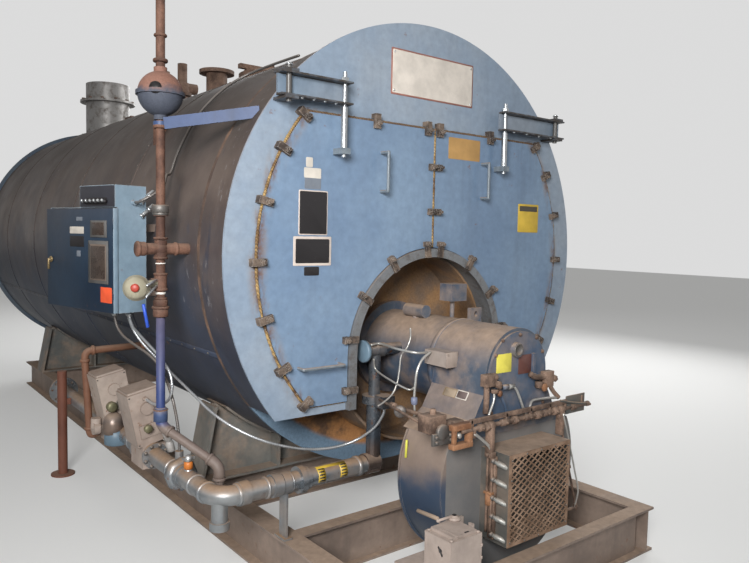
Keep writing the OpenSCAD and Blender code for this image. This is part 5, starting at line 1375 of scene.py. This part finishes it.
orange_nuts = [nut((0.146, -0.665, -0.597), (0, -1, 0), 0.036, 0.012),
               nut((-0.168, -0.66, -0.588), (0.3, -1, 0), 0.026, 0.014)]
add_parts("head_orange_nuts", orange_nuts, rust_orange)
print("pilot fittings ready")

# %% [markdown]
# A bright tube swings below the sight port from one cluster to the other, and short dark levers cross it.
# The port is a disc of glass behind a ring, and two bare tags are stuck beside it.

# %% Bright tube, sight port and tags
silver = worn_metal("silver tube", (0.5, 0.49, 0.46), seed=18.0, dusty=0.2, rough=0.3, metal=0.6, stain=0.3)
swing = [(-0.106, -0.66, -0.568), (-0.075, -0.662, -0.568), (-0.052, -0.664, -0.585), (-0.03, -0.67, -0.63),
         (-0.006, -0.678, -0.69), (0.012, -0.68, -0.712), (0.03, -0.678, -0.705), (0.045, -0.67, -0.67),
         (0.07, -0.66, -0.655), (0.11, -0.658, -0.653), (0.19, -0.658, -0.658), (0.262, -0.66, -0.664)]
tube_nut = [(0.013, 0), (0.013, 0.02), (0.0105, 0.024), (0.0105, 0.04), (TIP, 0.04)]
bright = [pipe_between(swing, 0.0062, 70), turned(tube_nut, at(-0.106, -0.66, -0.566), (1, 0, 0), 6),
          pipe_between([(-0.192, -0.655, -0.58), (-0.2, -0.66, -0.62), (-0.235, -0.665, -0.678)], 0.0055)]
add_parts("head_bright_tubes", bright, silver, slot="worn_steel")
levers = [pipe_between([(-0.148, -0.645, -0.584), (-0.118, -0.65, -0.64), (-0.09, -0.646, -0.69)], 0.0085),
          turned(stub(0.012, 0.032), at(-0.138, -0.66, -0.564), (1, 0, 0), 12)]
add_parts("head_dark_levers", levers, cover_paint)
port = turned([(0.0215, 0.0), (0.0205, 0.002), (TIP, 0.002)], at(-0.03, -0.6405, -0.404), (0, -1, 0), 28)
add_parts("sight_glass", [port], glass)
ring = [(0.03, 0), (0.0315, 0.004), (0.0315, 0.01), (0.028, 0.013), (0.0225, 0.013), (0.0215, 0.006)]
port_rim = turned(ring, at(-0.03, -0.6435, -0.404), (0, -1, 0), 32)
add_parts("sight_rim", [port_rim], dark_steel, slot="worn_steel")
bright_yellow = label("bright yellow tag", (0.75, 0.66, 0.1), 21.0, scuff=0.3, rough=0.7)
dark_red = label("dark red plate", (0.12, 0.045, 0.035), 22.0, scuff=0.5, under=(0.22, 0.2, 0.17))
cover_tag = panel((-0.158, -0.055), (AXIS - 0.505, AXIS - 0.418), COVER_Y, 0.0014, 0.003)
cover_plate = panel((-0.005, 0.088), (AXIS - 0.525, AXIS - 0.435), COVER_Y, 0.002, 0.004)
add_mesh("cover_tag", *cover_tag, bright_yellow)
add_mesh("cover_plate", *cover_plate, dark_red)
print("sight port ready")

# %% [markdown]
# Thin lines leave the junction box on the neck and hang down its left side, and a probe with a blue grey
# bulb ends one of them. Each is a tube through listed points, because such lines were bent by hand.

# %% Thin lines and the probe
from_riser = [(-0.426, -0.05, -0.432), (-0.366, -0.05, -0.43), (-0.384, -0.2, -0.433), (-0.346, -0.3, -0.441),
              (-0.257, -0.3, -0.445)]
hanging = [(-0.275, -0.17, -0.343), (-0.273, -0.17, -0.393), (-0.294, -0.17, -0.44), (-0.33, -0.17, -0.477),
           (-0.34, -0.17, -0.546), (-0.354, -0.17, -0.614), (-0.386, -0.17, -0.664), (-0.44, -0.17, -0.696),
           (-0.47, -0.17, -0.707)]
beside = [(-0.408, -0.05, -0.503), (-0.389, -0.05, -0.561), (-0.413, -0.2, -0.586), (-0.413, -0.32, -0.604),
          (-0.376, -0.32, -0.602)]
thin = [pipe_between(from_riser, 0.006, 40), pipe_between(hanging, 0.0045, 70),
        pipe_between(beside, 0.0048, 50)]
add_parts("head_thin_lines", thin, silver)
to_bulb = [(-0.285, -0.33, -0.438), (-0.334, -0.33, -0.467), (-0.366, -0.33, -0.516), (-0.377, -0.33, -0.581),
           (-0.382, -0.33, -0.645)]
from_bulb = [(-0.38, -0.33, -0.675), (-0.377, -0.33, -0.705), (-0.376, -0.33, -0.734)]
probe = [pipe_between(to_bulb, 0.0062, 40), pipe_between(from_bulb, 0.0055, 6)]
add_parts("probe_line", probe, silver)
bulb = [(0.007, 0), (0.0145, 0.004), (0.0165, 0.018), (0.0145, 0.034), (0.007, 0.039), (TIP, 0.0395)]
bulb = turned(bulb, at(-0.382, -0.33, -0.642), (0.06, 0, -1), 20)
add_mesh("probe_bulb", *bulb, label("blue grey fitting", (0.19, 0.21, 0.3), 23.0, scuff=0.3))
print("thin lines ready")

# %% [markdown]
# The neck carries a box with a screwed lid and two bare plates on its sloping side. A plate is drawn flat,
# then laid on the slope by two directions: one along the neck and one down the slope.

# %% Lid, plates and band of the neck
lid = [block_of((-0.279, -0.434, -0.502), (-0.204, -0.429, -0.428), 0.002),
       nut((-0.268, -0.434, -0.44), (0, -1, 0), 0.008, 0.003)]
add_parts("junction_lid", lid, beige)


def on_neck(name, y, up, thick, finish):
    """A plate on the neck's sloping left side: its place along Y, and how far down the slope."""
    run, drop = 0.063, 0.11
    slope = np.array([-run, 0, -drop]) / math.hypot(run, drop)
    out = np.array([-drop, 0, run]) / math.hypot(run, drop)
    points, faces = panel(y, up, 0.0, thick, 0.003)
    top = np.array(at(-0.222, 0, -0.6))
    placed = top + points[:, 2:3] * slope + points[:, 0:1] * np.array([0, 1, 0]) - points[:, 1:2] * out
    add_mesh(name, placed, [face[::-1] for face in faces], finish)


tan = label("tan plate", (0.3, 0.22, 0.14), 24.0, scuff=0.4)
on_neck("neck_plate_rim", (-0.461, -0.376), (0.004, 0.046), 0.0015, tan)
tan_face = label("tan plate face", (0.36, 0.28, 0.2), 25.0, scuff=0.5)
on_neck("neck_plate", (-0.455, -0.386), (0.009, 0.044), 0.0022, tan_face)
on_neck("neck_frame_rim", (-0.532, -0.462), (0.002, 0.044), 0.0014, paper)
framed = label("dark framed plate", (0.15, 0.11, 0.1), 26.0, scuff=0.6, under=(0.4, 0.36, 0.32))
on_neck("neck_frame", (-0.527, -0.467), (0.006, 0.04), 0.002, framed)
band = turned(rim(0, 0.028, 0.2135, 0.2175, 0.002), at(0, -0.262, -0.52), (0, 1, 0), 96)
add_mesh("housing_band", *band, burner_paint, slot="burner_paint")
print("burner head dressed")

# %% [markdown]
# ## Linkage of the air box
# The jackshaft turns the damper and the fuel cock together. It looks like a pair of rods: a flat bar stands
# over the shaft, with collars and set screws along both. Bars, blocks and lathes placed along one axis make
# it.

# %% The shaft and its collars
SHAFT_Y, SHAFT_Z = -0.69, -0.715        # the shaft's axis
collars = ((-0.325, 0.03, 0.017), (-0.29, 0.02, 0.021), (-0.18, 0.05, 0.016), (-0.1, 0.028, 0.02),
           (-0.015, 0.05, 0.0155), (0.06, 0.034, 0.02), (0.115, 0.05, 0.017), (0.19, 0.03, 0.02),
           (0.33, 0.036, 0.018), (0.46, 0.018, 0.0135))
levers = ((-0.352, -0.04, 0.0), (0.232, -0.04, 0.0), (0.415, 0.0, 0.05))
shaft = [bar((-0.43, SHAFT_Y, SHAFT_Z), (0.48, SHAFT_Y, SHAFT_Z), 0.01),
         block_of((-0.385, -0.7, -0.69), (0.29, -0.688, -0.668), 0.002)]
for x in (-0.25, 0.25):
    shaft += [block_of((x - 0.012, -0.71, -0.838), (x + 0.012, -0.672, -0.7), 0.003),
              bar((x - 0.016, SHAFT_Y, SHAFT_Z), (x + 0.016, SHAFT_Y, SHAFT_Z), 0.021)]
for x, wide, radius in collars:
    shaft.append(turned(rim(0, wide, radius - 0.002, radius, 0.002), at(x, SHAFT_Y, SHAFT_Z), (1, 0, 0), 14))
    shaft.append(nut((x + wide / 2, SHAFT_Y - radius * 0.9, SHAFT_Z), (0, -1, 0), 0.011, 0.008))
shaft += [block_of((x - 0.006, -0.7, SHAFT_Z), (x + 0.006, -0.682, -0.672), 0.002)
          for x in (-0.375, -0.15, 0.02, 0.16, 0.28)]
shaft += [block_of((x - 0.006, -0.698, SHAFT_Z + low), (x + 0.006, -0.682, SHAFT_Z + high), 0.003)
          for x, low, high in levers]
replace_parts(add_parts("cross_shaft", shaft, dog_rust, slot="rusty_steel"), "jackshaft")
plate = [block_of((0.29, -0.694, -0.745), (0.44, -0.688, -0.655), 0.002),
         pipe_between([(0.235, -0.7, -0.668), (0.33, -0.7, -0.69), (0.44, -0.696, -0.71)], 0.006)]
add_parts("shaft_plate", plate, box_paint)
print(len(collars), "collars on the shaft")

# %% [markdown]
# The fuel cock stands at the shaft's left end: a pipe that leads to the rear, a body with a cam on its
# front, and an orange bracket round the joint.

# %% The fuel cock and its bracket
bracket = [block_of((-0.483, -0.7, -0.706), (-0.365, -0.665, -0.68), 0.003),
           block_of((-0.391, -0.697, -0.787), (-0.364, -0.667, -0.7), 0.004),
           block_of((-0.483, -0.7, -0.787), (-0.365, -0.665, -0.764), 0.003),
           block_of((-0.481, -0.696, -0.77), (-0.462, -0.68, -0.7), 0.002)]
add_parts("orange_bracket", bracket, rust_orange, slot="rusty_steel")
cock = [bar((-0.385, -0.62, SHAFT_Z), (-0.385, -0.125, SHAFT_Z), 0.0095),
        bar((-0.385, -0.56, SHAFT_Z), (-0.385, -0.52, SHAFT_Z), 0.017, 8),
        bar((-0.385, -0.2, SHAFT_Z), (-0.385, -0.165, SHAFT_Z), 0.017, 8),
        block_of((-0.565, -0.64, -0.72), (-0.47, -0.56, -0.645), 0.004),
        bar((-0.475, -0.6, -0.7), (-0.36, -0.6, -0.71), 0.016),
        block_of((-0.42, -0.64, -0.745), (-0.36, -0.58, -0.685), 0.006),
        bar((-0.515, -0.6, -0.66), (-0.515, -0.6, -0.622), 0.014, 8),
        bar((-0.398, -0.09, -0.7), (-0.55, -0.57, -0.69), 0.0065)]
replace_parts(add_parts("fuel_cock", cock, dog_rust, slot="rusty_steel"), "fuel_valve")
gears = [turned([(0.03, 0), (0.034, 0.004), (0.034, 0.016), (0.03, 0.02), (TIP, 0.02)],
                at(-0.505, -0.641, -0.713), (0, -1, 0), 24),
         block_of((-0.56, -0.655, -0.767), (-0.44, -0.641, -0.715), 0.002)]
cam_nuts = ((-0.545, -0.73), (-0.465, -0.73), (-0.545, -0.752), (-0.46, -0.752))
gears += [nut((x, -0.655, z), (0, -1, 0), 0.014, 0.01) for x, z in cam_nuts]
add_parts("fuel_cock_cam", gears, dark_steel, slot="worn_steel")
disc = [turned([(0.024, 0), (0.029, 0.003), (0.029, 0.014), (0.022, 0.019), (TIP, 0.02)],
               at(-0.428, -0.285, -0.713), (-0.7, -0.75, 0), 28),
        bar((-0.385, -0.245, -0.715), (-0.43, -0.288, -0.713), 0.01)]
add_parts("fuel_indicator", disc, zinc_dull, slot="worn_steel")
knob = [(0.011, 0), (0.013, 0.004), (0.013, 0.018), (0.009, 0.022), (TIP, 0.022)]
add_mesh("fuel_cock_knob", *turned(knob, at(-0.43, -0.662, -0.735), (0.2, -1, 0), 20), silver)
print("fuel cock ready")

# %% [markdown]
# Down the air box's left side runs the cam strip: a flat strip and two thin rods, with five spring-loaded
# screws that lean towards the viewer. On the right side a lever joins the damper to the shaft.

# %% Cam strip and its screws
MID_Y = -0.6103 - 0.165 / 2             # the middle of the air box, front to back
strip = [block_of((-0.234, MID_Y - 0.018, -1.232), (-0.2153, MID_Y + 0.018, -0.856), 0.003),
         bar((0.2153, MID_Y, -1.15), (0.257, MID_Y, -1.15), 0.012),
         block_of((0.245, MID_Y - 0.012, -1.24), (0.255, MID_Y + 0.012, -1.14), 0.003),
         bar((0.25, MID_Y, -1.228), (0.42, MID_Y, -1.24), 0.008),
         bar((0.228, -0.7, -0.735), (0.405, MID_Y, -1.24), 0.0058),
         bar((0.322, -0.697, -1.0), (0.329, -0.697, -1.02), 0.011, 6),
         bar((0.398, MID_Y, -1.215), (0.405, MID_Y, -1.25), 0.0105, 8)]
strip += [pipe_between([(-0.247, y, -0.858), (-0.247, y, -1.0), (-0.247, y, -1.2)], 0.0058)
          for y in (MID_Y - 0.012, MID_Y + 0.014)]
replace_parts(add_parts("cam_strip", strip, dog_rust, slot="rusty_steel"), "damper_linkage")
joint = [turned(rim(0, 0.056, 0.012, 0.016, 0.006), at(-0.249, MID_Y + 0.001, -1.074), (0, 0, 1), 12),
         block_of((-0.262, MID_Y - 0.02, -1.025), (-0.236, MID_Y + 0.022, -1.012), 0.002)]
add_parts("cam_coupling", joint, rust_orange)
cam_screws, screw_nuts = [], []
for k in range(5):
    z = -0.872 - 0.083 * k
    end, root = np.array(at(-0.205, MID_Y - 0.07, z - 0.026)), np.array(at(-0.243, MID_Y - 0.012, z))
    reach = np.linalg.norm(end - root)
    way = (end - root) / reach
    barrel = [(0.0085, 0), (0.0085, 0.02), (0.0125, 0.022), (0.0125, reach * 0.9), (0.0105, reach * 0.97),
              (0.005, reach), (TIP, reach)]
    cam_screws.append(turned(barrel, root, way, 14))
    screw_nuts.append(turned([(0.012, -0.006), (0.0135, 0.0), (0.0135, 0.01), (TIP, 0.012)], root, way, 6))
screw_grey = worn_metal("screw grey", (0.4, 0.41, 0.39), seed=21.0, dusty=0.4, rough=0.4, metal=0.6)
add_parts("cam_screws", cam_screws, screw_grey, slot="worn_steel")
add_parts("cam_screw_nuts", screw_nuts, dark_steel)
print(len(cam_screws), "cam screws")

# %% [markdown]
# Thin rods link the strip to the shaft, and small screws hold the grille's frame.

# %% Thin rods and the grille's screws
outer = [(-0.36, -0.7, -0.735), (-0.31, -0.7, -0.77), (-0.262, -0.7, -0.812), (-0.25, -0.7, -0.846)]
inner = [(-0.345, -0.69, -0.735), (-0.3, -0.694, -0.77), (-0.25, -0.698, -0.812), (-0.238, -0.7, -0.846)]
long_rod = [(0.243, -0.712, -0.73), (0.29, -0.715, -0.86), (0.345, -0.72, -1.03), (0.385, -0.715, -1.14),
            (0.395, MID_Y, -1.232)]
rods = [pipe_between(outer, 0.0042), pipe_between(inner, 0.0042), pipe_between(long_rod, 0.0042, 30)]
add_parts("damper_rods", rods, silver, slot="worn_steel")
clevis = [block_of((-0.262, MID_Y - 0.02, -0.858), (-0.23, MID_Y + 0.022, -0.832), 0.003),
          nut((-0.262, MID_Y, -0.845), (-1, 0, 0), 0.016, 0.012)]
add_parts("cam_clevis", clevis, dog_rust)
screw_spots = [(x, z) for x in (-0.2, 0.2) for z in (-0.86, -0.95, -1.05, -1.15, -1.23)]
screw_spots += [(x, z) for x in (-0.1, 0.0, 0.1) for z in (-0.845, -1.243)]
screw_head = [(0.005, 0), (0.0045, 0.002), (TIP, 0.0032)]
screw_heads = [turned(screw_head, at(x, -0.7801, z), (0, -1, 0), 10) for x, z in screw_spots]
add_parts("grille_screws", screw_heads, dark_steel)
print("linkage dressed")

# %% [markdown]
# ## The modulating motor
# A beige cast box with a lid, a boss with a crank on its top, a slot for its key, and a bare bar that leads
# from the crank back to the blower. The key slot is a black block on the lid: painted shade of its hollow.

# %% Boss, crank and bar of the motor
boss = [(0.026, 0), (0.026, 0.009), (0.022, 0.012), (0.014, 0.012), (0.012, 0.018), (TIP, 0.019)]
boss = [turned(boss, at(-0.567, -0.797, -1.0265), (0, 0, 1), 28),
        block_of((-0.672, -0.924, -1.0282), (-0.668, -0.83, -1.0252), 0.001),
        block_of((-0.703, -0.79, -1.052), (-0.546, -0.781, -1.038), 0.003),
        block_of((-0.7105, -0.79, -1.22), (-0.706, -0.784, -1.06), 0.001)]
boss += [nut((x, y, -1.04), (0, 0, 1), 0.014, 0.006) for y in (-0.914, -0.79) for x in (-0.698, -0.552)]
boss += [block_of((-0.545, -0.93, z - 0.006), (-0.538, -0.915, z + 0.006), 0.002)
         for z in (-1.09, -1.14, -1.19)]
add_parts("motor_boss", boss, motor_beige, slot="beige_paint")
# The first block is the key slot: a black patch on the lid, painted shade of the slot's hollow.
dark = [block_of((-0.622, -0.912, -1.0275), (-0.6, -0.904, -1.0255), 0.0008),
        nut((-0.567, -0.797, -1.0085), (0, 0, 1), 0.018, 0.003),
        bar((-0.7095, -0.868, -1.09), (-0.7125, -0.868, -1.09), 0.009),
        bar((-0.7125, -0.882, -1.108), (-0.7125, -0.858, -1.076), 0.0032, 8)]
add_parts("motor_slots", dark, black_plate)
crank = [bar((-0.56, -0.794, -1.0125), (-0.657, -0.79, -1.0125), 0.0055, 12),
         nut((-0.65, -0.79, -1.0185), (0, 0, 1), 0.014, 0.005)]
add_parts("motor_crank", crank, motor_beige, slot="beige_paint")
tan_bar = bar((-0.648, -0.786, -1.007), (-0.614, -0.63, -1.034), 0.0085)
add_mesh("motor_tan_bar", *tan_bar, label("tan bar", (0.36, 0.27, 0.2), 27.0, scuff=0.4, rough=0.7))
fan_rims = [turned(rim(0, 0.008, 0.152, 0.1555, 0.002), at(0, y, -1.0), (0, 1, 0), 64) for y in (-0.3, -0.03)]
add_parts("fan_motor_rims", fan_rims, burner_paint)
scroll_tag = turned(rim(0, 0.084, 0.0045, 0.007, 0.004), at(-0.452, -0.36, -0.912), (0.05, 0, 1), 4)
add_mesh("scroll_tag", *scroll_tag, label("scroll tag", (0.62, 0.6, 0.08), 28.0, scuff=0.2))
print("motor dressed")

# %% [markdown]
# ## Floor, lamps and settings
# The object stands alone on a plain pale floor. Large soft lamps at the left and above light it much as the
# photographer's flash did, and weaker ones lift the right side and the rear. The backdrop is the world's
# plain grey: brighter for the camera and in reflections than in the light that it gives.

# %% Light the part
def soft_lamp(name, place, aim, size, watts):
    """A round lamp that looks at a point."""
    lamp = bpy.data.objects.new(name, bpy.data.lights.new(name, "AREA"))
    lamp.data.shape, lamp.data.size, lamp.data.energy = "DISK", size, watts
    lamp.location = place
    lamp.rotation_euler = (Vector(aim) - Vector(place)).to_track_quat("-Z", "Y").to_euler()
    bpy.context.scene.collection.objects.link(lamp)


soft_lamp("key", (-3.9, -3.3, 2.9), (-0.5, 0.4, 1.5), 1.8, 122)
bpy.data.lights["key"].spread = math.radians(105)
soft_lamp("fill", (4.5, -6.5, 2.6), (0.2, 0.5, 1.2), 4.0, 35)
soft_lamp("top", (-2.5, 3.0, 7.5), (-0.5, 2.5, 1.5), 5.0, 45)
soft_lamp("side", (6.5, 2.6, 4.2), (0.6, 2.6, 1.4), 4.5, 230)
soft_lamp("rear", (4.0, 9.5, 5.0), (0, 4.0, 1.4), 5.0, 240)

world = bpy.data.worlds.new("studio")
bpy.context.scene.world = world
world.use_nodes = True
sky = Graph(world.node_tree)
camera_ray, glossy_ray, passing_ray = (
    sky.node("ShaderNodeLightPath", out=f"Is {ray} Ray") for ray in ("Camera", "Glossy", "Transmission"))
strength = 0.7 * camera_ray + 0.36 * glossy_ray + 0.7 * passing_ray + 0.19
sky.ends_in("ShaderNodeOutputWorld", sky.node("ShaderNodeBackground", {"Strength": strength}))
print(len(bpy.data.lights), "lamps")

# %% [markdown]
# The floor is one square face, far wider than the picture. It gives off a little light that only the camera
# sees, so that it looks pale and still keeps the shadows.

# %% Lay the floor
floor_finish = Finish("floor")
seen = floor_finish.node("ShaderNodeLightPath", out="Is Camera Ray")
pale = floor_finish.done((0.62, 0.62, 0.61), 0.85, **{
    "Emission Color": floor_finish.mix(seen, (0, 0, 0), (0.23, 0.23, 0.226)), "Emission Strength": 1.0})
FLOOR_REACH = 30.0
floor_mesh = bpy.data.meshes.new("floor")
corners = [(x * FLOOR_REACH, y * FLOOR_REACH, 0) for x, y in ((-1, -1), (1, -1), (1, 1), (-1, 1))]
floor_mesh.from_pydata(corners, [], [(0, 1, 2, 3)])
floor_mesh.materials.append(pale)
floor = bpy.data.objects.new("floor", floor_mesh)
bpy.context.scene.collection.objects.link(floor)
bpy.context.scene.view_settings.view_transform = "Standard"
print("floor laid")
